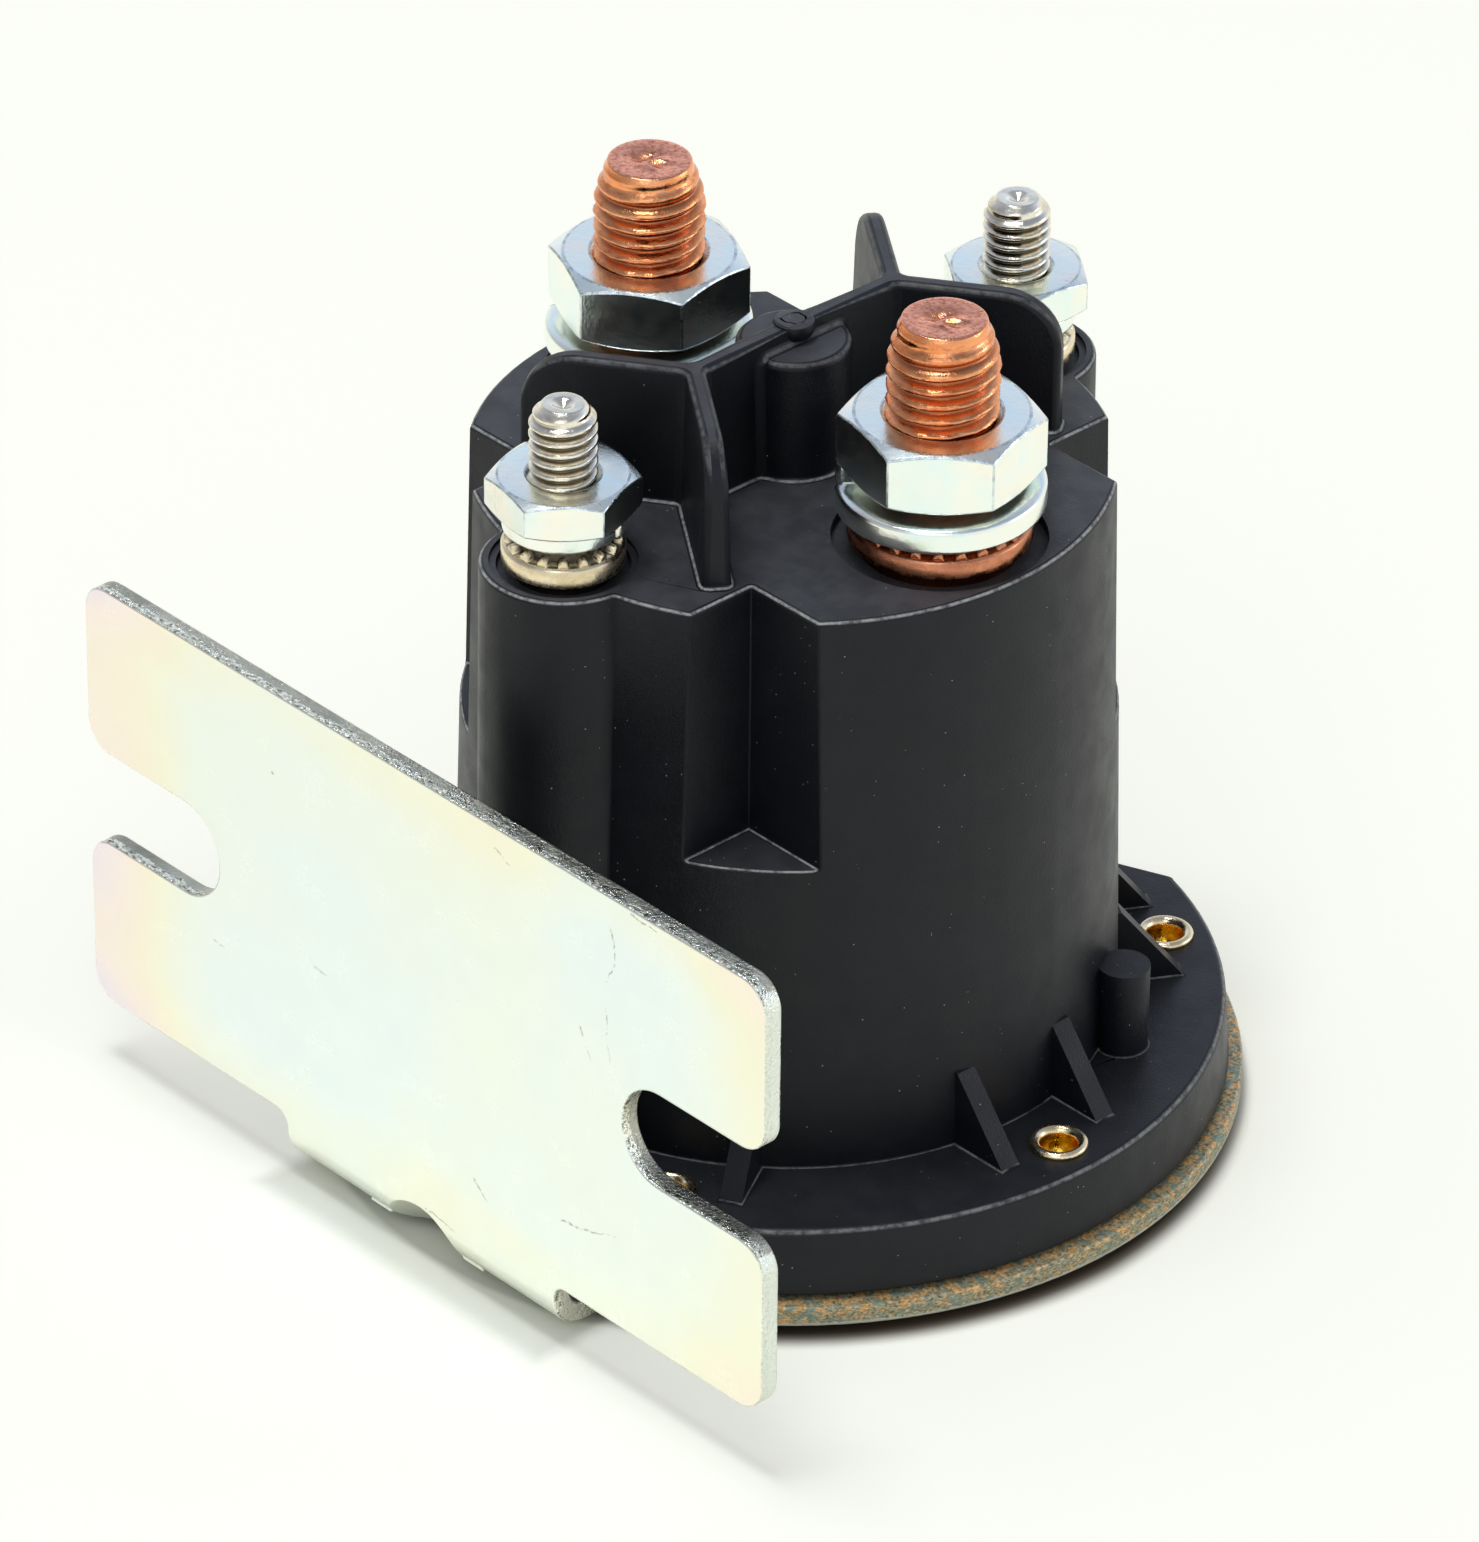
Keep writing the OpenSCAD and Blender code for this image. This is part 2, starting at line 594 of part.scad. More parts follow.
// Moulded housing, open below
module housing() {
    color([0.13, 0.13, 0.15]) difference() {
        union() {
            difference() {
                union() {
                    translate([0, 0, flange_z - lap])
                        cylinder(r1 = body_low_r, r2 = body_top_r, h = deck_z - flange_z + lap);
                    for (side = [-1, 1]) translate([0, side * coil_y, housing_z])
                        cylinder(r1 = boss_low_r, r2 = boss_top_r, h = deck_z - housing_z);
                }
                for (x = [-1, 1], y = [-1, 1]) translate([x * (notch_x + over / 2),
                    y * (notch_y + over / 2), notch_z + over]) cube([over, over, 2 * over],
                    center = true);
            }
            difference() {
                translate([0, 0, housing_z])
                    cylinder(r1 = flange_low_r, r2 = flange_top_r, h = flange_z - housing_z);
                translate([0, 0, housing_z - lap]) linear_extrude(height = flange_z)
                    flange_cuts();
            }
            at_rivets() for (side = [-1, 1]) translate([0, side * rib_half_gap, 0]) rib();
            rotate([0, 0, post_angle]) translate([post_circle, 0, flange_z - lap])
                cylinder(r = post_r, h = post_z - flange_z + lap);
            barrier();
        }
        translate([0, 0, housing_z - lap]) cylinder(r = coil_space_r,
            h = coil_space_z - housing_z + lap);
        translate([0, 0, coil_space_z - lap]) cylinder(r = chamber_r,
            h = ceiling_z - coil_space_z + lap);
        translate([0, 0, coil_space_z - lap])
            linear_extrude(height = ceiling_z - coil_space_z + lap) intersection() {
                circle(r = chamber_reach);
                square([2 * chamber_reach, 2 * chamber_half], center = true);
            }
        for (side = [-1, 1]) {
            translate([0, side * coil_y, housing_z - lap])
                cylinder(r = well_r, h = well_top_z - housing_z + lap);
            translate([-channel_half, side > 0 ? chamber_r - lap : -coil_y, coil_space_z - lap])
                cube([2 * channel_half, coil_y - chamber_r + lap, well_top_z - coil_space_z]);
            translate([0, side * coil_y, ceiling_z - lap])
                cylinder(r = coil_r + fixed_fit, h = deck_t + 2 * lap);
            translate([0, side * coil_y, seat_z]) cylinder(r = coil_seat_r, h = seat_depth + lap);
            translate([0, side * coil_y, deck_z - coil_step_depth])
                cylinder(r = coil_step_r, h = coil_step_depth + lap);
            translate([side * main_x, 0, ceiling_z - lap])
                cylinder(r = main_r + fixed_fit, h = deck_t + 2 * lap);
            translate([side * main_x, 0, seat_z]) cylinder(r = main_seat_r, h = seat_depth + lap);
        }
        at_rivets() translate([rivet_circle, 0, housing_z - lap])
            cylinder(r = rivet_r + fixed_fit, h = flange_z - housing_z + 2 * lap);
    }
}

// Outline of the upright plate, drawn in X and Z
module plate_outline() {
    difference() {
        union() {
            rounded_strip(plate_half, plate_low, slot_z - slot_r, arm_corner_r);
            rounded_strip(plate_half, slot_z + slot_r, plate_top, arm_corner_r);
            translate([-slot_end - slot_r, plate_low])
                square([2 * (slot_end + slot_r), plate_top - plate_low]);
            translate([-neck_half, bend_out_r]) square([2 * neck_half, plate_low]);
            difference() {
                translate([-neck_half - neck_fillet, plate_low - neck_fillet])
                    square([2 * (neck_half + neck_fillet), neck_fillet + lap]);
                for (side = [-1, 1])
                    translate([side * (neck_half + neck_fillet), plate_low - neck_fillet])
                        circle(r = neck_fillet);
            }
        }
        for (side = [-1, 1]) translate([side * (slot_end + slot_r), slot_z]) circle(r = slot_r);
    }
}

// Base disc and upright plate, pressed from one sheet
module base_bracket() {
    // Distance of the dimple's axis from the bend's centre, outwards along the diagonal
    axis_out = bend_out_r - dimple_depth + dimple_r;
    color([0.8, 0.82, 0.76]) difference() {
        union() {
            cylinder(r = disc_r, h = sheet_t);
            translate([-neck_half, bend_out_r - plate_face, 0])
                cube([2 * neck_half, plate_face - bend_out_r - neck_half, sheet_t]);
            translate([-neck_half, bend_out_r - plate_face, bend_out_r]) rotate([90, 0, 90])
                linear_extrude(height = 2 * neck_half) intersection() {
                    difference() {
                        circle(r = bend_out_r);
                        circle(r = bend_r);
                    }
                    translate([-bend_out_r, -bend_out_r]) square([bend_out_r, bend_out_r]);
                }
            translate([0, -plate_in, 0]) rotate([90, 0, 0]) linear_extrude(height = sheet_t)
                plate_outline();
            intersection() {
                translate([0, bend_out_r - plate_face, bend_out_r]) rotate([45, 0, 0])
                    translate([0, -axis_out, -over / 2])
                        cylinder(r = dimple_r + sheet_t, h = over);
                translate([-dimple_r - sheet_t, -plate_in - sheet_t / 2, sheet_t / 2])
                    cube([2 * (dimple_r + sheet_t), dimple_r + sheet_t, dimple_r + sheet_t]);
            }
        }
        translate([0, bend_out_r - plate_face, bend_out_r]) rotate([45, 0, 0])
            translate([0, -axis_out, -over / 2]) cylinder(r = dimple_r, h = over);
        at_rivets() translate([rivet_circle, 0, -lap])
            cylinder(r = rivet_r + fixed_fit, h = sheet_t + 2 * lap);
    }
}

// Flat gasket between the flange and the base disc
module flange_gasket() {
    color([0.07, 0.07, 0.07]) translate([0, 0, sheet_t]) linear_extrude(height = gasket_t)
        difference() {
            circle(r = flange_low_r - gasket_inset);
            coil_space(coil_space_r);
            flange_cuts();
            at_rivets() translate([rivet_circle, 0]) circle(r = rivet_r + fixed_fit);
        }
}

// Six hollow ended rivets with rolled rims
module flange_rivets() {
    color([0.83, 0.66, 0.3]) at_rivets() translate([rivet_circle, 0, 0]) difference() {
        union() {
            translate([0, 0, -rivet_head_h]) cylinder(r = rivet_head_r, h = rivet_head_h);
            translate([0, 0, -lap]) cylinder(r = rivet_r, h = flange_z + lap);
            translate([0, 0, flange_z]) cylinder(r = rivet_rim_r, h = rivet_rim_h);
        }
        translate([0, 0, flange_z + rivet_rim_h - rivet_bore_depth])
            cylinder(r = rivet_bore_r, h = rivet_bore_depth + lap);
    }
}

// Steel can round the coil
module coil_can() {
    color([0.55, 0.56, 0.58]) ring(can_r, can_r - can_t, sheet_t, flux_low_z);
}

// Steel plate that closes the coil's magnetic circuit above
module flux_plate() {
    color([0.58, 0.59, 0.6]) difference() {
        ring(can_r, pole_neck_r + fixed_fit, flux_low_z, flux_top_z);
        for (side = [-1, 1]) translate([0, side * lead_y, flux_low_z - lap])
            cylinder(r = 2 * lead_r, h = flux_t + 2 * lap);
    }
}

// Fixed pole with its neck in the flux plate and a hole for the rod
module fixed_pole() {
    color([0.62, 0.62, 0.64]) difference() {
        union() {
            translate([0, 0, pole_low_z]) cylinder(r = plunger_r, h = flux_low_z - pole_low_z);
            translate([0, 0, flux_low_z - lap]) cylinder(r = pole_neck_r, h = flux_t + lap);
        }
        translate([0, 0, pole_low_z - lap])
            cylinder(r = rod_hole_r, h = flux_top_z - pole_low_z + 2 * lap);
    }
}

// Brass tube that guides the plunger
module guide_sleeve() {
    color([0.8, 0.65, 0.35]) ring(sleeve_out_r, sleeve_in_r, sheet_t, flux_low_z);
}

// Moulded bobbin
module coil_bobbin() {
    color([0.9, 0.88, 0.8]) difference() {
        union() {
            ring(bobbin_tube_r, bobbin_in_r, bobbin_low_z, bobbin_top_z);
            ring(bobbin_r, bobbin_in_r, bobbin_low_z, bobbin_low_z + bobbin_t);
            ring(bobbin_r, bobbin_in_r, bobbin_top_z - bobbin_t, bobbin_top_z);
        }
        for (side = [-1, 1]) translate([0, side * lead_y, bobbin_top_z - bobbin_t - lap])
            cylinder(r = 2 * lead_r, h = bobbin_t + 2 * lap);
    }
}

// Copper winding, drawn as one block of turns
module coil_winding() {
    color([0.72, 0.36, 0.16]) ring(winding_r, bobbin_tube_r + running,
        bobbin_low_z + bobbin_t + running, bobbin_top_z - bobbin_t - running);
}

// Tape round the winding
module winding_tape() {
    color([0.75, 0.7, 0.35]) ring(winding_r + running + tape_t, winding_r + running,
        bobbin_low_z + 2 * bobbin_t, bobbin_top_z - 2 * bobbin_t);
}

// Straight piece of round wire between two points of the YZ plane
module wire(from, to) {
    run = to - from;
    translate([0, from[0], from[1]]) rotate([-atan2(run[0], run[1]), 0, 0])
        cylinder(r = lead_r, h = norm(run));
}

// Two leads from the winding to the coil studs' heads
module coil_leads() {
    low = [lead_y, lead_low_z];
    bend = [lead_y, lead_bend_z];
    meet = [coil_y, lead_top_z];
    color([0.75, 0.4, 0.2]) for (side = [0, 180]) rotate([0, 0, side]) {
        wire(low, bend);
        translate([0, bend[0], bend[1]]) sphere(r = lead_r * knuckle_share);
        wire(bend, meet);
        translate([0, meet[0], meet[1]]) sphere(r = lead_r * knuckle_share);
        wire(meet, [coil_y, coil_head_low_z]);
    }
}

// Fibre pad that the plunger rests on
module rest_pad() {
    color([0.5, 0.28, 0.16]) translate([0, 0, sheet_t])
        cylinder(r = plunger_r - running, h = pad_t);
}

// Steel plunger with a spring pocket above and a seat for the rod's head below
module plunger() {
    color([0.66, 0.67, 0.69]) difference() {
        translate([0, 0, plunger_low_z]) cylinder(r = plunger_r, h = plunger_len);
        translate([0, 0, pocket_z]) cylinder(r = pocket_r, h = pocket_depth + lap);
        translate([0, 0, plunger_low_z - lap])
            cylinder(r = rod_r + fixed_fit, h = plunger_len + 2 * lap);
        translate([0, 0, plunger_low_z - lap])
            cylinder(r = rod_head_r + fixed_fit, h = rod_head_h + lap);
    }
}

// Push rod with a lower head, a spring shoulder and a clip groove
module plunger_rod() {
    color([0.78, 0.79, 0.8]) rotate_extrude() polygon([
        [0, plunger_low_z], [rod_head_r, plunger_low_z],
        [rod_head_r, plunger_low_z + rod_head_h], [rod_r, plunger_low_z + rod_head_h],
        [rod_r, shoulder_z - shoulder_t], [shoulder_r, shoulder_z - shoulder_t],
        [shoulder_r, shoulder_z], [rod_r, shoulder_z],
        [rod_r, clip_low_z], [clip_groove_r, clip_low_z],
        [clip_groove_r, clip_low_z + clip_t], [rod_r, clip_low_z + clip_t],
        [rod_r, rod_top_z], [0, rod_top_z]]);
}

// Return spring between the plunger's pocket and the fixed pole
module return_spring() {
    color([0.7, 0.71, 0.73]) ring_spring(return_mean_r, return_wire_r, return_turns,
        pocket_z, pole_low_z);
}

// Spring that presses the moving contact on after it has closed
module contact_spring() {
    color([0.7, 0.71, 0.73]) ring_spring(contact_mean_r, contact_wire_r, contact_turns,
        shoulder_z, seat_low_z);
}

// Insulating seat under the moving contact, its hub through the contact
module contact_seat() {
    color([0.45, 0.2, 0.12]) difference() {
        union() {
            translate([0, 0, seat_low_z]) cylinder(r = seat_flange_r, h = seat_flange_t);
            translate([0, 0, seat_low_z]) cylinder(r = hub_r, h = seat_flange_t + contact_t);
        }
        translate([0, 0, seat_low_z - lap])
            cylinder(r = rod_hole_r, h = seat_flange_t + contact_t + 2 * lap);
    }
}

// Copper bar that bridges the two main studs
module moving_contact() {
    color([0.82, 0.45, 0.26]) translate([0, 0, contact_low_z]) linear_extrude(height = contact_t)
        difference() {
            union() {
                square([2 * (contact_half_len - contact_half_w), 2 * contact_half_w],
                    center = true);
                for (side = [-1, 1])
                    translate([side * (contact_half_len - contact_half_w), 0])
                        circle(r = contact_half_w);
            }
            circle(r = hub_r + fixed_fit);
        }
}

// Insulating collar above the moving contact
module contact_collar() {
    color([0.45, 0.2, 0.12]) ring(top_collar_r, rod_hole_r, contact_top_z, clip_low_z);
}

// Open clip in the rod's groove
module retaining_clip() {
    color([0.35, 0.36, 0.38]) translate([0, 0, clip_low_z]) difference() {
        cylinder(r = clip_r, h = clip_t);
        translate([0, 0, -lap]) cylinder(r = clip_groove_r + running, h = clip_t + 2 * lap);
        translate([0, -clip_groove_r * (1 - crest_share), -lap])
            cube([clip_r + lap, 2 * clip_groove_r * (1 - crest_share), clip_t + 2 * lap]);
    }
}

// Insulating disc between the coil and the contact chamber
module insulating_disc() {
    color([0.55, 0.33, 0.18]) ring(disc_out_r, pole_neck_r, flux_top_z, flux_top_z + disc_t);
}

// Silver tips under the main studs' heads
module contact_tips() {
    color([0.85, 0.85, 0.83]) for (side = [-1, 1]) translate([side * main_x, 0, tip_low_z])
        cylinder(r = tip_r, h = tip_t);
}

// Gaskets between the main studs' heads and the deck
module stud_gaskets() {
    color([0.09, 0.09, 0.09]) for (side = [-1, 1]) translate([side * main_x, 0, 0])
        ring(main_head_r, main_r + fixed_fit, head_top_z, ceiling_z);
}

// Copper main stud: inner head with two flats and a threaded shaft
module main_stud() {
    color([0.8, 0.47, 0.3]) union() {
        translate([0, 0, head_low_z]) linear_extrude(height = main_head_t) intersection() {
            circle(r = main_head_r);
            square([2 * main_head_r, 2 * main_head_flat], center = true);
        }
        threaded_shaft(main_r, main_root_r, main_pitch, head_top_z - lap,
            main_nut_z + main_nut_h, main_top_z, main_tip_r, main_tip_h, 0);
    }
}

// Main stud on the bracket's right
module main_stud_front() {
    translate([main_x, 0, 0]) main_stud();
}

// Main stud on the bracket's left
module main_stud_back() {
    translate([-main_x, 0, 0]) main_stud();
}

// Copper collars round the main studs
module main_collars() {
    color([0.78, 0.42, 0.25]) for (side = [-1, 1]) translate([side * main_x, 0, seat_z])
        toothed_collar(main_collar_r, main_foot_h, main_tooth_r, main_tooth_h, main_teeth,
            main_r + fixed_fit);
}

// Lock washers of the main studs
module main_lock_washers() {
    color([0.72, 0.74, 0.75]) for (i = [0, 1]) translate([(1 - 2 * i) * main_x, 0,
        seat_z + main_foot_h + main_tooth_h]) rotate([0, 0, main_splits[i]])
            split_washer(main_washer_r, main_r + loose, main_washer_t, main_washer_rise);
}

// Nuts of the main studs
module main_nuts() {
    color([0.76, 0.77, 0.78]) for (i = [0, 1]) translate([(1 - 2 * i) * main_x, 0, main_nut_z])
        rotate([0, 0, main_nut_turns[i]])
            hex_nut(main_nut_af, main_nut_h, (main_r + main_root_r) / 2 + fixed_fit);
}

// Steel coil stud: inner hexagon head and a threaded shaft
module coil_stud() {
    color([0.76, 0.77, 0.79]) union() {
        translate([0, 0, coil_head_low_z]) cylinder(r = coil_head_r, h = coil_head_t, $fn = 6);
        threaded_shaft(coil_r, coil_root_r, coil_pitch, well_top_z - lap,
            coil_nut_z + coil_nut_h, coil_top_z, coil_tip_r, coil_tip_h, coil_dimple_r);
    }
}

// Coil stud beside the upright plate
module coil_stud_left() {
    translate([0, -coil_y, 0]) coil_stud();
}

// Coil stud on the far side
module coil_stud_right() {
    translate([0, coil_y, 0]) coil_stud();
}

// Plated collars round the coil studs
module coil_collars() {
    color([0.8, 0.76, 0.66]) for (side = [-1, 1]) translate([0, side * coil_y, seat_z])
        toothed_collar(coil_collar_r, coil_foot_h, coil_tooth_r, coil_tooth_h, coil_teeth,
            coil_r + fixed_fit);
}

// Lock washers of the coil studs
module coil_lock_washers() {
    color([0.72, 0.74, 0.75]) for (i = [0, 1]) translate([0, (2 * i - 1) * coil_y,
        seat_z + coil_foot_h + coil_tooth_h]) rotate([0, 0, coil_splits[i]])
            split_washer(coil_washer_r, coil_r + loose, coil_washer_t, coil_washer_rise);
}

// Nuts of the coil studs
module coil_nuts() {
    color([0.76, 0.77, 0.78]) for (i = [0, 1]) translate([0, (2 * i - 1) * coil_y, coil_nut_z])
        rotate([0, 0, coil_nut_turns[i]])
            hex_nut(coil_nut_af, coil_nut_h, (coil_r + coil_root_r) / 2 + fixed_fit);
}

housing();
base_bracket();
flange_gasket();
flange_rivets();
coil_can();
flux_plate();
fixed_pole();
guide_sleeve();
coil_bobbin();
coil_winding();
winding_tape();
coil_leads();
rest_pad();
plunger();
plunger_rod();
return_spring();
contact_spring();
contact_seat();
moving_contact();
contact_collar();
retaining_clip();
insulating_disc();
contact_tips();
stud_gaskets();
main_stud_front();
main_stud_back();
main_collars();
main_lock_washers();
main_nuts();
coil_stud_left();
coil_stud_right();
coil_collars();
coil_lock_washers();
coil_nuts();
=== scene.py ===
"""Looks of a continuous duty solenoid: moulded housing, plated bracket, copper and nickel terminals."""

import json
import logging
import math
from collections.abc import Callable, Sequence
from dataclasses import dataclass, field
from enum import Enum

import bmesh
import bpy
from mathutils import Matrix, Vector

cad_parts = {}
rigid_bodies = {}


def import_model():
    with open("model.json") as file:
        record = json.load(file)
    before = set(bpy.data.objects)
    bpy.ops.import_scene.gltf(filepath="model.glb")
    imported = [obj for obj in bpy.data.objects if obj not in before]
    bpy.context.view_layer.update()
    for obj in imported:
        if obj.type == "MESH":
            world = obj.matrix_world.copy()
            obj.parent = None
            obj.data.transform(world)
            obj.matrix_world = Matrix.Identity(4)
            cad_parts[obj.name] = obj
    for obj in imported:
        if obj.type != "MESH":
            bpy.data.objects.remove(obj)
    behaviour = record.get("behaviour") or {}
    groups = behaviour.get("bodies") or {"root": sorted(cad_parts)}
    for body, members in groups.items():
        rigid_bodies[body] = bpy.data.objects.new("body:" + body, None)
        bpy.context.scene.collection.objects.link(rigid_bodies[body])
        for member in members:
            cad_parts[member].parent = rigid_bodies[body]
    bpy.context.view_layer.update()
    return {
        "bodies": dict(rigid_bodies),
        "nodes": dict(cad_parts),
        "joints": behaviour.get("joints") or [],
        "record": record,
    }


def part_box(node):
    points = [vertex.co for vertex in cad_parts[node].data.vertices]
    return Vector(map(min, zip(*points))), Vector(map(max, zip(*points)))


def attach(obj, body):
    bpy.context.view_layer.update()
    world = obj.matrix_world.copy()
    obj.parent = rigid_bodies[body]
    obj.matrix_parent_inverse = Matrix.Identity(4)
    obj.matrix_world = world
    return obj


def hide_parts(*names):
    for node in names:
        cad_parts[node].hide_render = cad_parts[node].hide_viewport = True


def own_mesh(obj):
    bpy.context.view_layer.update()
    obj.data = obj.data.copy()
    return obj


LOG = logging.getLogger("solenoid")
MM = 0.001
FULL_TURN = 2 * math.pi
WELD = 2e-7
Colour = tuple[float, float, float]
Place = tuple[float, float, float]
Profile = list[tuple[float, float]]
Inputs = dict[str | int, object]


class Body(Enum):
    """The CAD bodies that the new pieces ride on."""

    BASE = "base"
    CONTACT = "contact"


# Node trees


def arithmetic(operation: str, swapped: bool = False) -> Callable[["Term", object], "Term"]:
    """Makes an operator method that adds one Math node.

    Args:
        operation: What the node does.
        swapped: Whether the other value comes first.

    Returns:
        The method.
    """

    def method(self: "Term", other: object) -> "Term":
        """The node's result."""
        return self.graph.math(operation, *((other, self) if swapped else (self, other)))

    return method


class Term:
    """One output in a node tree, on which plain arithmetic adds Math nodes."""

    __add__ = __radd__ = arithmetic("ADD")
    __mul__ = __rmul__ = arithmetic("MULTIPLY")
    __sub__, __rsub__ = arithmetic("SUBTRACT"), arithmetic("SUBTRACT", swapped=True)
    __truediv__, __pow__ = arithmetic("DIVIDE"), arithmetic("POWER")
    __gt__, __lt__ = arithmetic("GREATER_THAN"), arithmetic("LESS_THAN")
    larger, smaller = arithmetic("MAXIMUM"), arithmetic("MINIMUM")

    def __init__(self, graph: "Graph", socket: bpy.types.NodeSocket) -> None:
        """Keeps the output and the graph that it belongs to."""
        self.graph, self.socket = graph, socket

    def __abs__(self) -> "Term":
        """Its size without the sign."""
        return self.graph.math("ABSOLUTE", self)

    def span(
        self, low: object, high: object, to_low: float = 0.0, to_high: float = 1.0, smooth: bool = True
    ) -> "Term":
        """Maps it from one range to another.

        Args:
            low: Where the source range starts.
            high: Where it ends.
            to_low: Result at its start.
            to_high: Result at its end.
            smooth: Whether the change eases in and out.

        Returns:
            The mapped value.
        """
        inputs = {0: self, 1: low, 2: high, 3: to_low, 4: to_high}
        kind = "SMOOTHSTEP" if smooth else "LINEAR"
        return self.graph.out("ShaderNodeMapRange", inputs, interpolation_type=kind)

    def ramp(self, stops: Sequence[tuple[float, Colour]]) -> "Term":
        """Turns it into a colour.

        Args:
            stops: Places and colours, in order.

        Returns:
            The colour.
        """
        node = self.graph.add("ShaderNodeValToRGB", {0: self})
        elements = node.color_ramp.elements
        while len(elements) < len(stops):
            elements.new(0.5)
        for element, (place, colour) in zip(elements, stops):
            element.position = place
            element.color = (*colour, 1.0)
        return Term(self.graph, node.outputs[0])


class Graph:
    """Short calls that add nodes to one node tree and link them."""

    def __init__(self, tree: bpy.types.NodeTree) -> None:
        """Keeps the shader, group or geometry tree that the calls add to."""
        self.tree = tree

    def add(self, kind: str, inputs: Inputs | None = None, **settings: object) -> bpy.types.Node:
        """Adds a node.

        Args:
            kind: Blender's name of the node type.
            inputs: Values for its inputs, by name or index.
            **settings: Properties of the node, set before its inputs.

        Returns:
            The node.
        """
        node = self.tree.nodes.new(kind)
        for key, value in settings.items():
            setattr(node, key, value)
        for key, value in (inputs or {}).items():
            self.plug(node.inputs[key], value)
        return node

    def plug(self, socket: bpy.types.NodeSocket, value: object) -> None:
        """Links or sets one input.

        Args:
            socket: The input.
            value: A term, a node whose first output is meant, or a plain value.
        """
        if isinstance(value, bpy.types.Node):
            value = Term(self, value.outputs[0])
        if isinstance(value, Term):
            self.tree.links.new(value.socket, socket)
        elif isinstance(value, tuple) and len(value) == 3 and socket.type == "RGBA":
            socket.default_value = (*value, 1.0)
        else:
            socket.default_value = value

    def out(
        self, kind: str, inputs: Inputs | None = None, output: int | str = 0, **settings: object
    ) -> Term:
        """Adds a node and gives one of its outputs.

        Args:
            kind: Blender's name of the node type.
            inputs: Values for its inputs.
            output: Name or index of the output.
            **settings: Properties of the node.

        Returns:
            The output.
        """
        return Term(self, self.add(kind, inputs, **settings).outputs[output])

    def math(self, operation: str, *values: object, clamp: bool = False) -> Term:
        """The result of one Math node on the values."""
        return self.out("ShaderNodeMath", dict(enumerate(values)), operation=operation, use_clamp=clamp)

    def length(self, x: Term, y: Term) -> Term:
        """Length of a flat vector, or distance from an axis."""
        return self.math("SQRT", x * x + y * y)

    def mix(self, share: object, first: object, second: object) -> Term:
        """Colour between two others, by the share of the second."""
        inputs = {0: share, 6: first, 7: second}
        return self.out("ShaderNodeMix", inputs, 2, data_type="RGBA", blend_type="MIX")

    def noise(
        self, vector: object, scale: object, detail: float = 2.0, rough: float = 0.5, warp: float = 0.0
    ) -> Term:
        """Noise value.

        Args:
            vector: Where it is read.
            scale: Its scale.
            detail: Number of octaves.
            rough: Weight of the finer octaves.
            warp: Distortion.

        Returns:
            The value.
        """
        inputs = {"Vector": vector, "Scale": scale, "Detail": detail, "Roughness": rough, "Distortion": warp}
        return self.out("ShaderNodeTexNoise", inputs)

    def place(self, scale: Place = (1.0, 1.0, 1.0), shift: Place = (0.0, 0.0, 0.0)) -> Term:
        """Object coordinates in millimetres.

        Args:
            scale: Stretch along each axis.
            shift: Offset in millimetres.

        Returns:
            The vector.
        """
        where = self.out("ShaderNodeTexCoord", output="Object")
        factor = tuple(s / MM for s in scale)
        return self.out("ShaderNodeMapping", {"Vector": where, "Location": shift, "Scale": factor})

    def split(self, vector: object) -> list[Term]:
        """The three parts of a vector."""
        return [Term(self, part) for part in self.add("ShaderNodeSeparateXYZ", {0: vector}).outputs]

    def vector(self, x: object, y: object, z: object) -> Term:
        """A vector from its three parts."""
        return self.out("ShaderNodeCombineXYZ", {0: x, 1: y, 2: z})

    def where(self) -> list[Term]:
        """The object coordinates' parts in millimetres."""
        return self.split(self.place())

    def facing(self) -> list[Term]:
        """The parts of the surface's direction."""
        return self.split(self.out("ShaderNodeTexCoord", output="Normal"))


# Shader groups


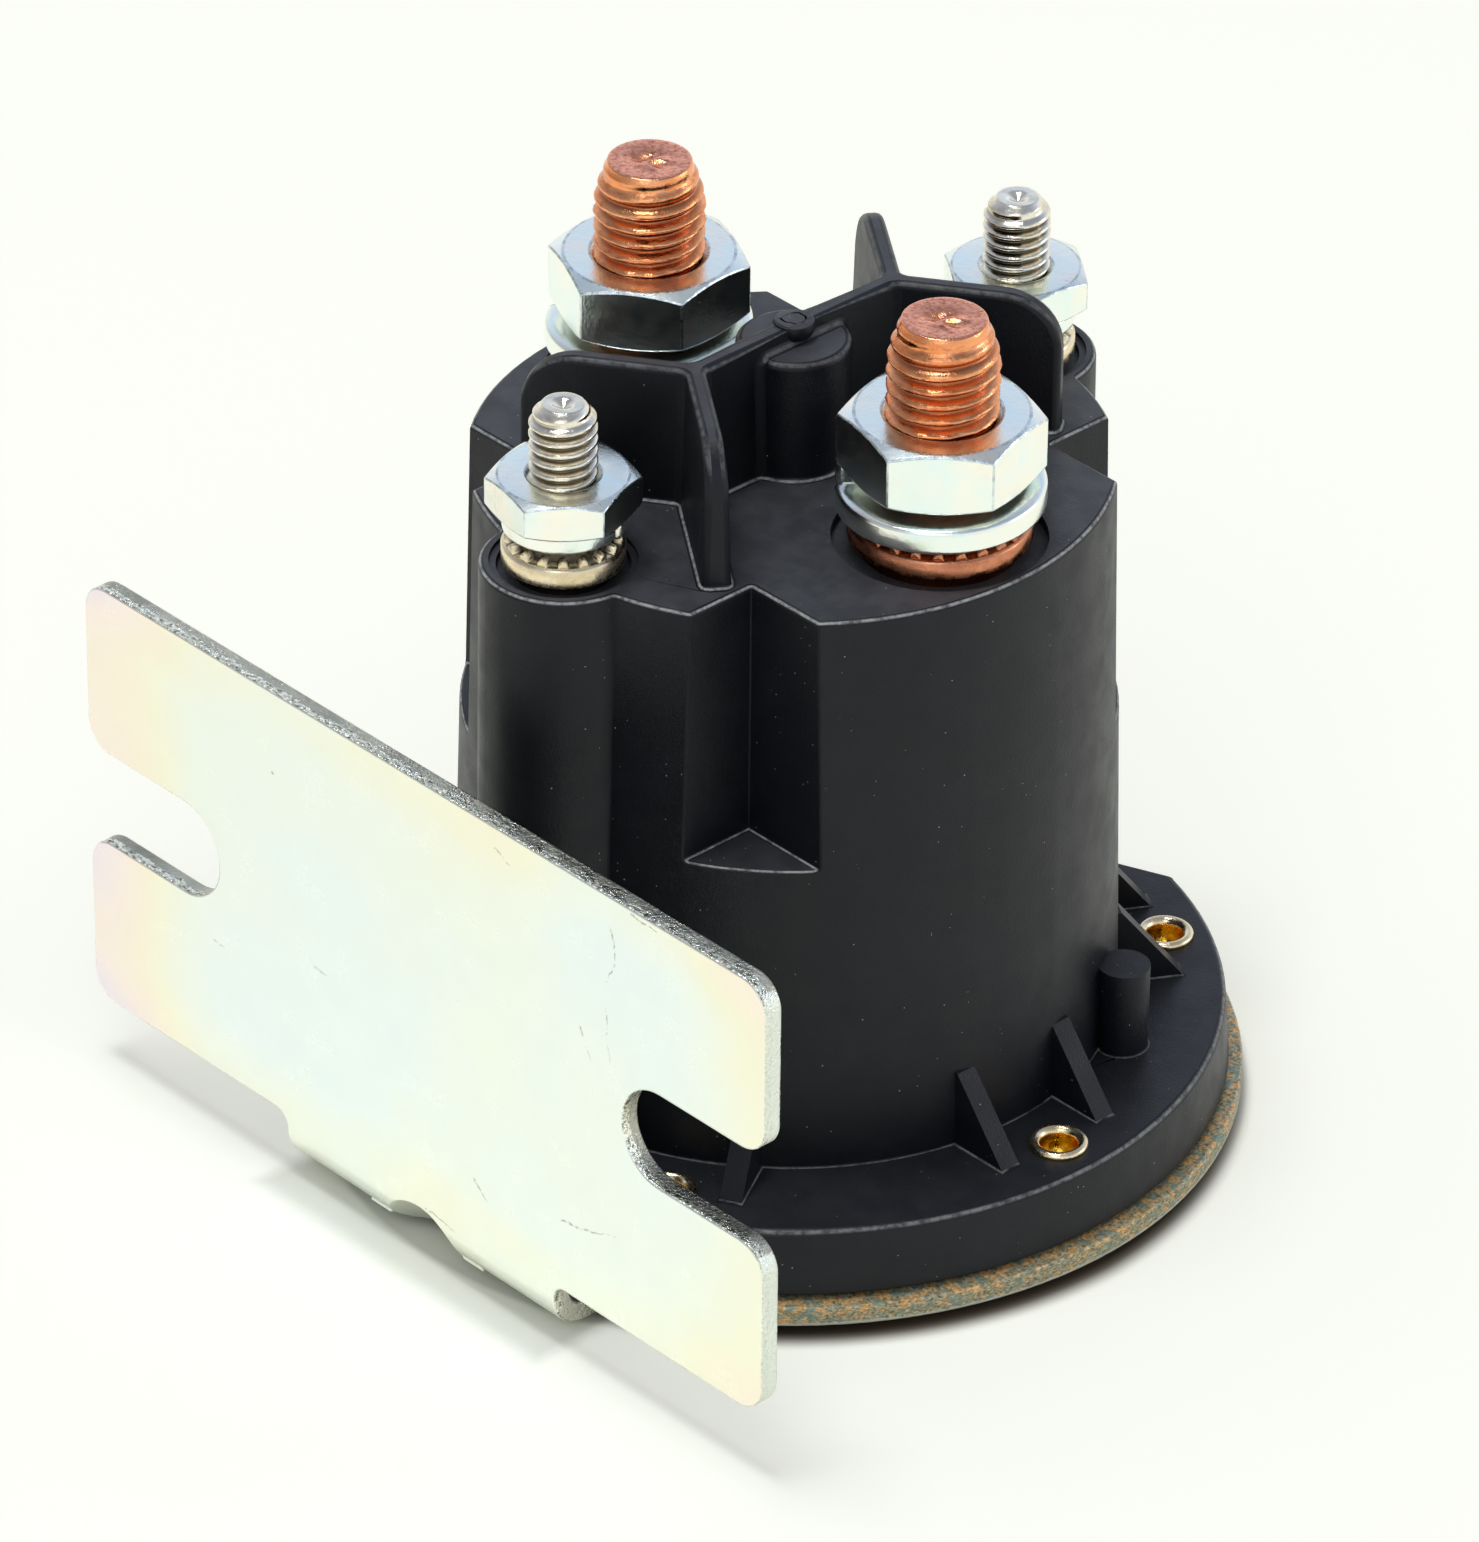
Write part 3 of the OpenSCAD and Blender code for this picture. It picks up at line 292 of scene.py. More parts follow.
class EffectGroups:
    """Shader node groups for the effects that several finishes share."""

    def __init__(self) -> None:
        """Builds each group once."""
        ends = {"Start X": 0.0, "Start Z": 0.0, "End X": 1.0, "End Z": 0.0}
        self.grain = self._build("Moulded grain", "Height", self._grain, Scale=6.0)
        self.dust = self._build("Dust specks", "Mask", self._dust, Scale=1.6, Share=0.03)
        self.stroke = self._build("Stroke mark", "Mask", self._stroke, **ends, Width=0.1)
        self.scratches = self._build("Fine scratches", "Mask", self._scratches, Scale=0.35, Share=0.06)
        self.flakes = self._build("Weathered flakes", "Colour", self._flakes, Scale=1.0)
        self.clouds = self._build("Soft clouds", "Value", self._clouds, Scale=0.15, Contrast=1.0)

    def _build(
        self, name: str, output: str, fill: Callable[..., Term], **inputs: float
    ) -> bpy.types.NodeTree:
        """Makes one group.

        Args:
            name: The group's name.
            output: Its output's name. Colour puts out a colour, any other name a value.
            fill: Called with the graph and the inputs, returns the output.
            **inputs: The group's value inputs with their defaults.

        Returns:
            The group's tree.
        """
        tree = bpy.data.node_groups.new(name, "ShaderNodeTree")
        for key, value in inputs.items():
            socket = tree.interface.new_socket(name=key, in_out="INPUT", socket_type="NodeSocketFloat")
            socket.default_value = value
        kind = "NodeSocketColor" if output == "Colour" else "NodeSocketFloat"
        tree.interface.new_socket(name=output, in_out="OUTPUT", socket_type=kind)
        g = Graph(tree)
        entry = g.add("NodeGroupInput")
        result = fill(g, *(Term(g, entry.outputs[key]) for key in inputs))
        g.add("NodeGroupOutput", {0: result})
        return tree

    @staticmethod
    def _grain(g: Graph, scale: Term) -> Term:
        """Height of a fine moulded or sandy surface."""
        return g.noise(g.place(), scale * 3.1, 1.0) * 0.5 + g.noise(g.place(), scale, 2.0, 0.6)

    @staticmethod
    def _dust(g: Graph, scale: Term, share: Term) -> Term:
        """Small round specks scattered unevenly.

        Args:
            g: The group's graph.
            scale: The cells' scale.
            share: Share of the cells with a speck.

        Returns:
            The mask.
        """
        cells = g.add("ShaderNodeTexVoronoi", {"Vector": g.place(), "Scale": scale}).outputs
        chance = g.add("ShaderNodeSeparateColor", {0: Term(g, cells["Color"])}).outputs
        near = Term(g, cells["Distance"]) < Term(g, chance[1]) * 0.11
        return near * (Term(g, chance[0]) < share)

    @staticmethod
    def _scratches(g: Graph, scale: Term, share: Term) -> Term:
        """Thin short marks in two directions.

        Args:
            g: The group's graph.
            scale: The noise's scale.
            share: How wide the marks are.

        Returns:
            The mask.
        """
        masks = []
        for turn, stretch in ((0.5, 22.0), (-0.9, 16.0)):
            rotation = (turn, turn * 0.7, turn * 1.3)
            inputs = {"Vector": g.place(), "Rotation": rotation, "Scale": (1.0, stretch, 1.0)}
            line = abs(g.noise(g.add("ShaderNodeMapping", inputs), scale, 1.0) - 0.5)
            masks.append((line < share * 0.1) * (g.noise(g.place(), 0.3, 1.0) > 0.64))
        return masks[0].larger(masks[1])

    @staticmethod
    def _stroke(g: Graph, start_x: Term, start_z: Term, end_x: Term, end_z: Term, width: Term) -> Term:
        """Broken line between two points of the XZ plane, thinner towards its end.

        Args:
            g: The group's graph.
            start_x: Where it starts along X, in millimetres.
            start_z: Where it starts along Z.
            end_x: Where it ends along X.
            end_z: Where it ends along Z.
            width: Its width at the start.

        Returns:
            The mask.
        """
        x, _, z = g.where()
        wobble = (g.noise(g.place(), 0.5, 2.0) - 0.5) * 1.1
        run_x, run_z = end_x - start_x, end_z - start_z
        from_x, from_z = x + wobble - start_x, z - wobble - start_z
        dot = from_x * run_x + from_z * run_z
        share = g.math("DIVIDE", dot, run_x * run_x + run_z * run_z, clamp=True)
        away = g.length(from_x - share * run_x, from_z - share * run_z)
        near = away.span(0.0, width * ((1.0 - share) * 1.6) + 0.03, 1.0, 0.0)
        return near * g.noise(g.place(), 2.2, 3.0, 0.7).span(0.42, 0.56)

    @staticmethod
    def _flakes(g: Graph, scale: Term) -> Term:
        """Grey brown film with teal patches and rust orange flakes.

        Args:
            g: The group's graph.
            scale: The flakes' scale.

        Returns:
            The colour.
        """
        flakes = g.noise(g.place((1.0, 1.0, 1.7), (11.0, 2.0, 0.0)), scale * 1.15, 3.0, 0.62)
        teal = g.noise(g.place((1.0, 1.0, 2.4), (31.0, 7.0, 3.0)), scale * 0.6, 3.0, 0.6)
        fine = g.noise(g.place((1.0, 1.0, 2.2), (5.0, 3.0, 1.0)), scale * 3.2, 3.0, 0.7)
        colour = fine.ramp([(0.36, (0.13, 0.11, 0.06)), (0.5, (0.37, 0.34, 0.21)), (0.66, (0.6, 0.59, 0.42))])
        colour = g.mix(teal.span(0.5, 0.6, 0.0, 0.6), colour, (0.17, 0.31, 0.29))
        fewer_high = g.where()[2].span(0.2, 1.5, 0.035, -0.02)
        rust = fine.ramp([(0.4, (0.52, 0.27, 0.1)), (0.6, (0.92, 0.6, 0.26))])
        return g.mix((flakes - fewer_high).span(0.53, 0.57, 0.0, 0.9), colour, rust)

    @staticmethod
    def _clouds(g: Graph, scale: Term, contrast: Term) -> Term:
        """Large soft variation between 0 and 1.

        Args:
            g: The group's graph.
            scale: The noise's scale.
            contrast: How far it swings.

        Returns:
            The value.
        """
        value = g.noise(g.place(), scale, 3.0, 0.5, 0.3) - 0.5
        return g.math("MULTIPLY_ADD", value, contrast, 0.5, clamp=True)


# Finishes


@dataclass(frozen=True)
class Finish:
    """One finish: two base colours that drift into each other, with grain, dust and scratches."""

    name: str
    colour: Colour
    second: Colour
    metal: float = 0.0
    rough: float = 0.4
    rough_drift: float = 0.1
    cloud_scale: float = 0.15
    cloud_contrast: float = 2.0
    grain_scale: float = 6.0
    grain_depth: float = 0.004
    dust_share: float = 0.0
    dust_scale: float = 1.6
    dust_colour: Colour = (0.6, 0.6, 0.58)
    scratch_share: float = 0.0
    scratch_colour: Colour = (0.3, 0.3, 0.3)
    specular: float = 0.5

    def effect(self, g: Graph, group: bpy.types.NodeTree, **values: float) -> Term:
        """Places a shared group with this finish's own values."""
        return g.out("ShaderNodeGroup", values, node_tree=group)

    def colour_of(self, g: Graph, groups: EffectGroups) -> Term:
        """Base colour before dust and scratches.

        Args:
            g: The material's graph.
            groups: The shared effects.

        Returns:
            The colour.
        """
        clouds = self.effect(g, groups.clouds, Scale=self.cloud_scale, Contrast=self.cloud_contrast)
        return g.mix(clouds, self.colour, self.second)

    def roughness_of(self, g: Graph, groups: EffectGroups) -> Term:
        """Roughness that drifts over the surface."""
        drift = self.effect(g, groups.clouds, Scale=self.cloud_scale * 2.7, Contrast=2.2)
        return drift.span(0.0, 1.0, self.rough - self.rough_drift, self.rough + self.rough_drift)

    def metal_of(self, g: Graph) -> object:
        """Metallic share: a plain number, or a term where it changes over the piece."""
        return self.metal

    def build(self, groups: EffectGroups) -> bpy.types.Material:
        """Makes the material.

        Args:
            groups: The shared effects.

        Returns:
            The material.
        """
        material = bpy.data.materials.new(self.name)
        material.use_nodes = True
        g = Graph(material.node_tree)
        inputs = material.node_tree.nodes["Principled BSDF"].inputs
        g.plug(inputs["Metallic"], self.metal_of(g))
        inputs["Specular IOR Level"].default_value = self.specular
        colour, rough = self.colour_of(g, groups), self.roughness_of(g, groups)
        if self.scratch_share:
            marks = self.effect(g, groups.scratches, Share=self.scratch_share)
            colour = g.mix(marks * 0.6, colour, self.scratch_colour)
        if self.dust_share:
            specks = self.effect(g, groups.dust, Share=self.dust_share, Scale=self.dust_scale)
            colour = g.mix(specks, colour, self.dust_colour)
            rough = rough.larger(specks * 0.8)
        height = self.effect(g, groups.grain, Scale=self.grain_scale)
        bump = {"Strength": 1.0, "Distance": self.grain_depth * MM, "Height": height}
        g.plug(inputs["Base Color"], colour)
        g.plug(inputs["Roughness"], rough)
        g.plug(inputs["Normal"], g.add("ShaderNodeBump", bump))
        return material


@dataclass(frozen=True)
class MouldedPlastic(Finish):
    """Black plastic with a thin film of dust on what faces up, faded lower down as painted shade."""

    film: Colour = (0.09, 0.095, 0.108)
    low_z: float = 20.0
    high_z: float = 40.0

    def colour_of(self, g: Graph, groups: EffectGroups) -> Term:
        """Plastic, greyer on upward faces and most so near the deck; the fade towards the low parts is
        painted shade.

        Args:
            g: The material's graph.
            groups: The shared effects.

        Returns:
            The colour.
        """
        cloud = g.noise(g.place(), 0.35, 3.0, 0.6).span(0.35, 0.65, 0.42, 0.64)
        # Painted shade: the film drops to 0.3 of its share on low faces such as the flange top.
        share = cloud * g.where()[2].span(self.low_z, self.high_z, 0.3, 1.0)
        return g.mix(g.facing()[2].span(0.85, 0.98) * share, super().colour_of(g, groups), self.film)


@dataclass(frozen=True)
class WornHighlitEdge(Finish):
    """Plastic of the rounded edges, pale where an edge faces up: a painted highlight, partly rubbed wear."""

    rubbed_highlight: Colour = (0.42, 0.43, 0.44)
    calm_z: float = 52.5
    low_z: float = 24.0
    rim_r: float = 31.0

    def colour_of(self, g: Graph, groups: EffectGroups) -> Term:
        """Plastic that turns pale on upward roundings, a painted highlight with some rubbed wear, less so on
        the barrier and low down.

        Args:
            g: The material's graph.
            groups: The shared effects.

        Returns:
            The colour.
        """
        x, y, z = g.where()
        up = g.facing()[2]
        # Painted highlight: roundings that face up towards the overhead lamp take the pale colour.
        upward = up.span(0.4, 0.65) * up.span(0.82, 0.94, 1.0, 0.0)
        broken = g.noise(g.place(), 1.6, 3.0, 0.7).span(0.32, 0.62, 0.25, 1.0)
        share = upward * broken * z.span(self.calm_z - 0.3, self.calm_z, 0.9, 0.22)
        low_share = g.length(x, y).span(self.rim_r - 1.5, self.rim_r, 0.34, 0.55)
        share = share * low_share.larger(z.span(self.low_z, self.low_z + 3.0))
        return g.mix(share, super().colour_of(g, groups), self.rubbed_highlight)

    def roughness_of(self, g: Graph, groups: EffectGroups) -> Term:
        """Duller on upright edges, so that they show as soft lines."""
        return super().roughness_of(g, groups).larger(abs(g.facing()[2]).span(0.1, 0.4, 0.62, 0.0))


@dataclass(frozen=True)
class ThreadMetal(Finish):
    """Metal of a pair of turned pieces, with painted shade in the roots of their threads or teeth and painted
    dark reflections in streaks.
    """

    metal: float = 1.0
    axis: tuple[float, float] = (15.0, 0.0)
    root_r: float = 3.4
    crest_r: float = 3.9
    # The root colour and share paint shade into the roots; the streak share paints dark reflections.
    root_shade_colour: Colour = (0.4, 0.12, 0.06)
    root_share: float = 0.65
    reflection_streak_share: float = 0.3
    root_shade_top: float = 1000.0

    def colour_of(self, g: Graph, groups: EffectGroups) -> Term:
        """The crests' colour with painted shade in the roots and painted dark reflection streaks.

        Args:
            g: The material's graph.
            groups: The shared effects.

        Returns:
            The colour.
        """
        x, y, z = g.where()
        radius = g.length(abs(x) - self.axis[0], abs(y) - self.axis[1])
        # Painted dark reflections: long streaks in the root colour.
        reflection_streak = g.noise(g.place((1.0, 1.0, 2.6)), 1.1, 3.0, 0.6).span(0.42, 0.66, 0.0, self.reflection_streak_share)
        # Painted shade: the roots of the threads or teeth darken, up to a height.
        root = radius.span(self.root_r, self.crest_r, self.root_share, 0.0)
        root = root * z.span(self.root_shade_top - 0.8, self.root_shade_top, 1.0, 0.0)
        share = root.larger(reflection_streak) * (radius > self.root_r - 0.25)
        return g.mix(share, super().colour_of(g, groups), self.root_shade_colour)


@dataclass(frozen=True)
class PlatedFilm(Finish):
    """Zinc plate with a thin clear film that shifts from mint through cream to lilac near the ends."""

    metal: float = 1.0
    half_length: float = 35.6
    middle_z: float = 21.9
    half_height: float = 17.6
    ledge_r: float = 30.4
    rear_r: float = 22.0
    plate_y: float = -30.0
    stroke_colour: Colour = (0.32, 0.28, 0.22)
    film: tuple[tuple[float, Colour], ...] = (
        (0.0, (0.84, 0.93, 0.97)),
        (0.14, (0.88, 0.95, 0.92)),
        (0.26, (0.92, 0.95, 0.86)),
        (0.38, (0.96, 0.94, 0.76)),
        (0.5, (0.99, 0.9, 0.75)),
        (0.62, (0.99, 0.87, 0.81)),
        (0.76, (0.86, 0.8, 0.95)),
        (1.0, (0.78, 0.9, 0.94)),
    )
    strokes: tuple[tuple[float, float, float, float, float], ...] = (
        (20.3, 36.9, 20.7, 34.0, 0.1),
        (20.6, 34.2, 19.9, 32.2, 0.1),
        (19.6, 30.2, 20.0, 26.0, 0.06),
        (8.4, 37.7, 9.8, 37.2, 0.12),
        (22.2, 39.0, 24.8, 39.0, 0.1),
        (15.3, 10.2, 20.9, 11.6, 0.12),
        (0.7, 3.9, 4.1, 3.3, 0.12),
        (-10.9, 18.5, -9.5, 18.4, 0.12),
        (-15.1, 32.7, -14.9, 32.5, 0.16),
        (-22.1, 15.5, -20.9, 15.4, 0.08),
        (6.0, 9.0, 7.4, 7.7, 0.1),
        (17.0, 27.5, 18.2, 25.2, 0.07),
    )

    def colour_of(self, g: Graph, groups: EffectGroups) -> Term:
        """Film colour from the distance to the plate's edges and soft clouds, with stroke marks on it.

        Args:
            g: The material's graph.
            groups: The shared effects.

        Returns:
            The colour.
        """
        x, y, z = g.where()
        clouds = self.effect(g, groups.clouds, Scale=0.045, Contrast=1.7)
        along = x * (-1 / self.half_length)
        rim = abs(z - self.middle_z).span(self.half_height - 6.0, self.half_height, 0.0, 0.2)
        end = along.span(0.62, 1.0) * z.span(self.middle_z - 4.0, self.middle_z + 4.0, 0.5, 0.38)
        near = abs(along).span(0.72, 1.0, 0.0, 0.2)
        colour = ((end.larger(near) + rim + clouds * 0.42) * 0.8).ramp(self.film)
        for stroke in self.strokes:
            mark = g.out("ShaderNodeGroup", dict(enumerate(stroke)), node_tree=groups.stroke)
            colour = g.mix(mark * (y < self.plate_y) * 0.75, colour, self.stroke_colour)
        return g.mix(self.ledge(g), colour, self.effect(g, groups.flakes, Scale=1.0))

    def metal_of(self, g: Graph) -> object:
        """Metal everywhere but on the disc's weathered ledge."""
        return self.ledge(g) * -0.8 + 1.0

    def ledge(self, g: Graph) -> Term:
        """Where the disc lies bare.

        Args:
            g: The material's graph.

        Returns:
            1 on the disc outside the flange and on its rear half, 0 elsewhere.
        """
        x, y, _ = g.where()
        radius = g.length(x, y)
        rim = (radius > self.ledge_r) * (y > self.plate_y - 0.5)
        return rim.larger((radius > self.rear_r) * (y > 0.0))


@dataclass(frozen=True)
class ShearedEdge(Finish):
    """Cut edge of the sheet: a smooth band beside a torn, sparkling band."""

    metal: float = 1.0
    torn_to: float = -34.72
    end_x: float = 32.0
    end_colour: Colour = (0.8, 0.84, 0.76)

    def colour_of(self, g: Graph, groups: EffectGroups) -> Term:
        """Speckled torn band towards the front, smooth band behind, pale short ends.

        Args:
            g: The material's graph.
            groups: The shared effects.

        Returns:
            The colour.
        """
        x, y, _ = g.where()
        spots = g.noise(g.place((0.55, 1.0, 1.0)), 4.0, 3.0, 0.75)
        torn = spots.ramp([(0.36, (0.07, 0.08, 0.06)), (0.47, (0.6, 0.6, 0.48)), (0.57, (1.0, 1.0, 0.88))])
        ragged = g.noise(g.place((0.6, 1.0, 1.0)), 1.1, 3.0) * 0.9 - 0.45
        end = (abs(g.facing()[0]) > 0.75) * (abs(x) > self.end_x)
        smooth = g.mix(end, super().colour_of(g, groups), self.end_colour)
        return g.mix((y + ragged < self.torn_to) * (end * -0.85 + 1.0), smooth, torn)


@dataclass(frozen=True)
class WeatheredRim(Finish):
    """Edge of the base disc: flakes of rust orange and teal on grey, with a pale lower lip."""

    lip_z: float = 0.55
    lip_colour: Colour = (0.66, 0.66, 0.58)

    def colour_of(self, g: Graph, groups: EffectGroups) -> Term:
        """The flakes above a pale lip.

        Args:
            g: The material's graph.
            groups: The shared effects.

        Returns:
            The colour.
        """
        fine = g.noise(g.place((1.0, 1.0, 2.0)), 2.0, 3.0, 0.7)
        lip = fine * 0.5 + g.where()[2] < self.lip_z
        return g.mix(lip * 0.75, self.effect(g, groups.flakes, Scale=1.0), self.lip_colour)


@dataclass(frozen=True)
class HollowRivet(Finish):
    """Pale gold rim that turns to deep amber inside the hollow, with a painted highlight on the hollow's
    floor.
    """

    metal: float = 1.0
    mouth_z: float = 7.3
    wall_colour: Colour = (0.75, 0.42, 0.04)
    floor_highlight_colour: Colour = (1.0, 0.8, 0.16)

    def colour_of(self, g: Graph, groups: EffectGroups) -> Term:
        """Amber below the mouth's height, gold above, and a painted highlight on the hollow's floor.

        Args:
            g: The material's graph.
            groups: The shared effects.

        Returns:
            The colour.
        """
        z = g.where()[2]
        deep = z.span(self.mouth_z - 0.25, self.mouth_z + 0.15, 1.0, 0.0)
        # Painted highlight: a bright yellow spot on the hollow's floor.
        floor = z.span(self.mouth_z - 2.1, self.mouth_z - 1.2, 1.0, 0.0)
        amber = g.mix(floor, self.wall_colour, self.floor_highlight_colour)
        return g.mix(deep, super().colour_of(g, groups), amber)


@dataclass(frozen=True)
class CutCopper(ThreadMetal):
    """Copper stud whose cut end face, above a height, is dull and pinkish brown."""

    face_z: float = 68.5

    def colour_of(self, g: Graph, groups: EffectGroups) -> Term:
        """Threaded copper below, the dull face on top.

        Args:
            g: The material's graph.
            groups: The shared effects.

        Returns:
            The colour.
        """
        stops = [(0.34, (0.5, 0.17, 0.1)), (0.48, (0.88, 0.33, 0.2)), (0.62, (1.0, 0.46, 0.3))]
        face = g.noise(g.place(), 2.6, 4.0, 0.7).ramp(stops)
        top = (g.where()[2] > self.face_z) * (g.facing()[2] > 0.9)
        return g.mix(top, super().colour_of(g, groups), face)


class Palette:
    """Every material of the object, built once and looked up by name."""

    BLACK = ((0.0045, 0.0052, 0.008), (0.008, 0.009, 0.013))

    def __init__(self) -> None:
        """Builds the shared effects and then each finish."""
        groups = EffectGroups()
        moulding = {"rough_drift": 0.05, "grain_scale": 5.0, "grain_depth": 0.022, "specular": 0.27}
        at_coil = {"axis": (0.0, 21.6)}
        collar = {"cloud_scale": 0.5, "grain_scale": 4.0, "grain_depth": 0.008}
        finishes: list[Finish] = [
            MouldedPlastic(
                "Housing plastic", *self.BLACK, rough=0.42, dust_share=0.2, dust_scale=2.1,
                dust_colour=(0.4, 0.4, 0.4), **moulding,
            ),
            WornHighlitEdge("Housing edges", *self.BLACK, rough=0.38, **moulding),
            PlatedFilm(
                "Plated sheet", (0.8, 0.9, 0.85), (0.9, 0.9, 0.8), rough=0.32, rough_drift=0.05,
                grain_scale=2.5, dust_share=0.004, dust_colour=(0.4, 0.38, 0.3),
            ),
            ShearedEdge(
                "Sheared edge", (0.28, 0.27, 0.22), (0.7, 0.69, 0.58), rough=0.3, rough_drift=0.15,
                grain_scale=3.0, grain_depth=0.12,
            ),
            WeatheredRim(
                "Weathered rim", (0.5, 0.5, 0.45), (0.4, 0.4, 0.35), metal=0.2, rough=0.55,
                rough_drift=0.12, grain_scale=3.0, grain_depth=0.08,
            ),
            Finish(
                "Zinc hardware", (0.85, 0.96, 0.92), (1.0, 0.96, 0.85), metal=1.0, rough=0.24,
                rough_drift=0.03, cloud_scale=0.3, cloud_contrast=3.0, grain_scale=2.2, grain_depth=0.012,
                dust_share=0.03, dust_scale=2.6, dust_colour=(0.95, 0.95, 0.92), scratch_share=0.04,
                scratch_colour=(0.5, 0.52, 0.54),
            ),
            Finish(
                "Zinc edges", (0.48, 0.53, 0.53), (0.82, 0.88, 0.86), metal=1.0, rough=0.3,
                cloud_scale=1.1, cloud_contrast=4.0, grain_scale=3.0, grain_depth=0.03,
            ),
            ThreadMetal(
                "Nickel hardware", (0.84, 0.75, 0.58), (1.0, 0.94, 0.8), rough=0.17, rough_drift=0.07,
                cloud_scale=0.5, cloud_contrast=3.0, grain_scale=4.0, grain_depth=0.014, dust_share=0.03,
                dust_scale=3.0, dust_colour=(0.9, 0.88, 0.8), root_r=2.02, crest_r=2.32,
                root_shade_colour=(0.1, 0.075, 0.045), root_share=0.95, reflection_streak_share=0.2, root_shade_top=63.4, **at_coil,
            ),
            CutCopper(
                "Copper", (0.92, 0.31, 0.11), (1.0, 0.47, 0.23), rough=0.2, rough_drift=0.08,
                cloud_scale=0.5, grain_scale=3.5, grain_depth=0.025, dust_share=0.01,
                dust_colour=(0.97, 0.75, 0.6), root_shade_colour=(0.3, 0.07, 0.025), root_share=0.8,
                reflection_streak_share=0.4, root_shade_top=67.6,
            ),
            ThreadMetal(
                "Collar copper", (0.42, 0.15, 0.08), (0.8, 0.33, 0.18), rough=0.28, root_r=5.75,
                crest_r=6.3, root_shade_colour=(0.14, 0.035, 0.015), root_share=0.9, reflection_streak_share=0.2, **collar,
            ),
            ThreadMetal(
                "Collar nickel", (0.74, 0.6, 0.38), (0.97, 0.84, 0.6), rough=0.26, rough_drift=0.08,
                root_r=3.5, crest_r=4.05, root_shade_colour=(0.05, 0.045, 0.035), root_share=0.96,
                reflection_streak_share=0.1, **at_coil, **(collar | {"cloud_scale": 0.6}),
            ),
            Finish(
                "Bar copper", (0.72, 0.33, 0.19), (0.86, 0.47, 0.3), metal=1.0, rough=0.3, cloud_scale=0.3,
                grain_scale=4.0, grain_depth=0.01, scratch_share=0.04, scratch_colour=(0.4, 0.16, 0.1),
            ),
            HollowRivet(
                "Gilt rivet", (0.85, 0.64, 0.36), (0.96, 0.82, 0.56), rough=0.22, rough_drift=0.08,
                cloud_scale=0.9, grain_scale=4.0, grain_depth=0.012,
            ),
            Finish(
                "Gasket rubber", (0.02, 0.02, 0.02), (0.035, 0.034, 0.032), rough=0.75, grain_scale=5.0,
                grain_depth=0.02,
            ),
            Finish(
                "Magnet steel", (0.42, 0.42, 0.43), (0.55, 0.55, 0.55), metal=1.0, rough=0.38,
                grain_scale=3.0, grain_depth=0.008, scratch_share=0.05,
            ),
            Finish(
                "Tube brass", (0.75, 0.53, 0.22), (0.85, 0.66, 0.33), metal=1.0, rough=0.28, grain_scale=4.0,
                scratch_share=0.04,
            ),
            Finish(
                "Bobbin plastic", (0.72, 0.69, 0.58), (0.8, 0.77, 0.67), rough=0.5, grain_scale=4.0,
                grain_depth=0.01,
            ),
            Finish(
                "Winding copper", (0.45, 0.14, 0.05), (0.62, 0.24, 0.09), metal=0.8, rough=0.3,
                grain_scale=4.0, grain_depth=0.02,
            ),
            Finish("Coil tape", (0.62, 0.5, 0.14), (0.7, 0.6, 0.22), grain_scale=2.0, grain_depth=0.01),
            Finish(
                "Red fibre", (0.3, 0.07, 0.035), (0.4, 0.11, 0.05), rough=0.6, grain_scale=4.0,
                grain_depth=0.015,
            ),
            Finish(
                "Spring steel", (0.5, 0.5, 0.51), (0.62, 0.61, 0.6), metal=1.0, rough=0.3, grain_scale=5.0,
                scratch_share=0.03,
            ),
            Finish(
                "Contact silver", (0.83, 0.82, 0.78), (0.93, 0.92, 0.9), metal=1.0, rough=0.3,
                grain_scale=4.0, grain_depth=0.01,
            ),
        ]
        self.made = {finish.name: finish.build(groups) for finish in finishes}

    def __getitem__(self, name: str) -> bpy.types.Material:
        """The material of that name."""
        return self.made[name]


# Mesh helpers


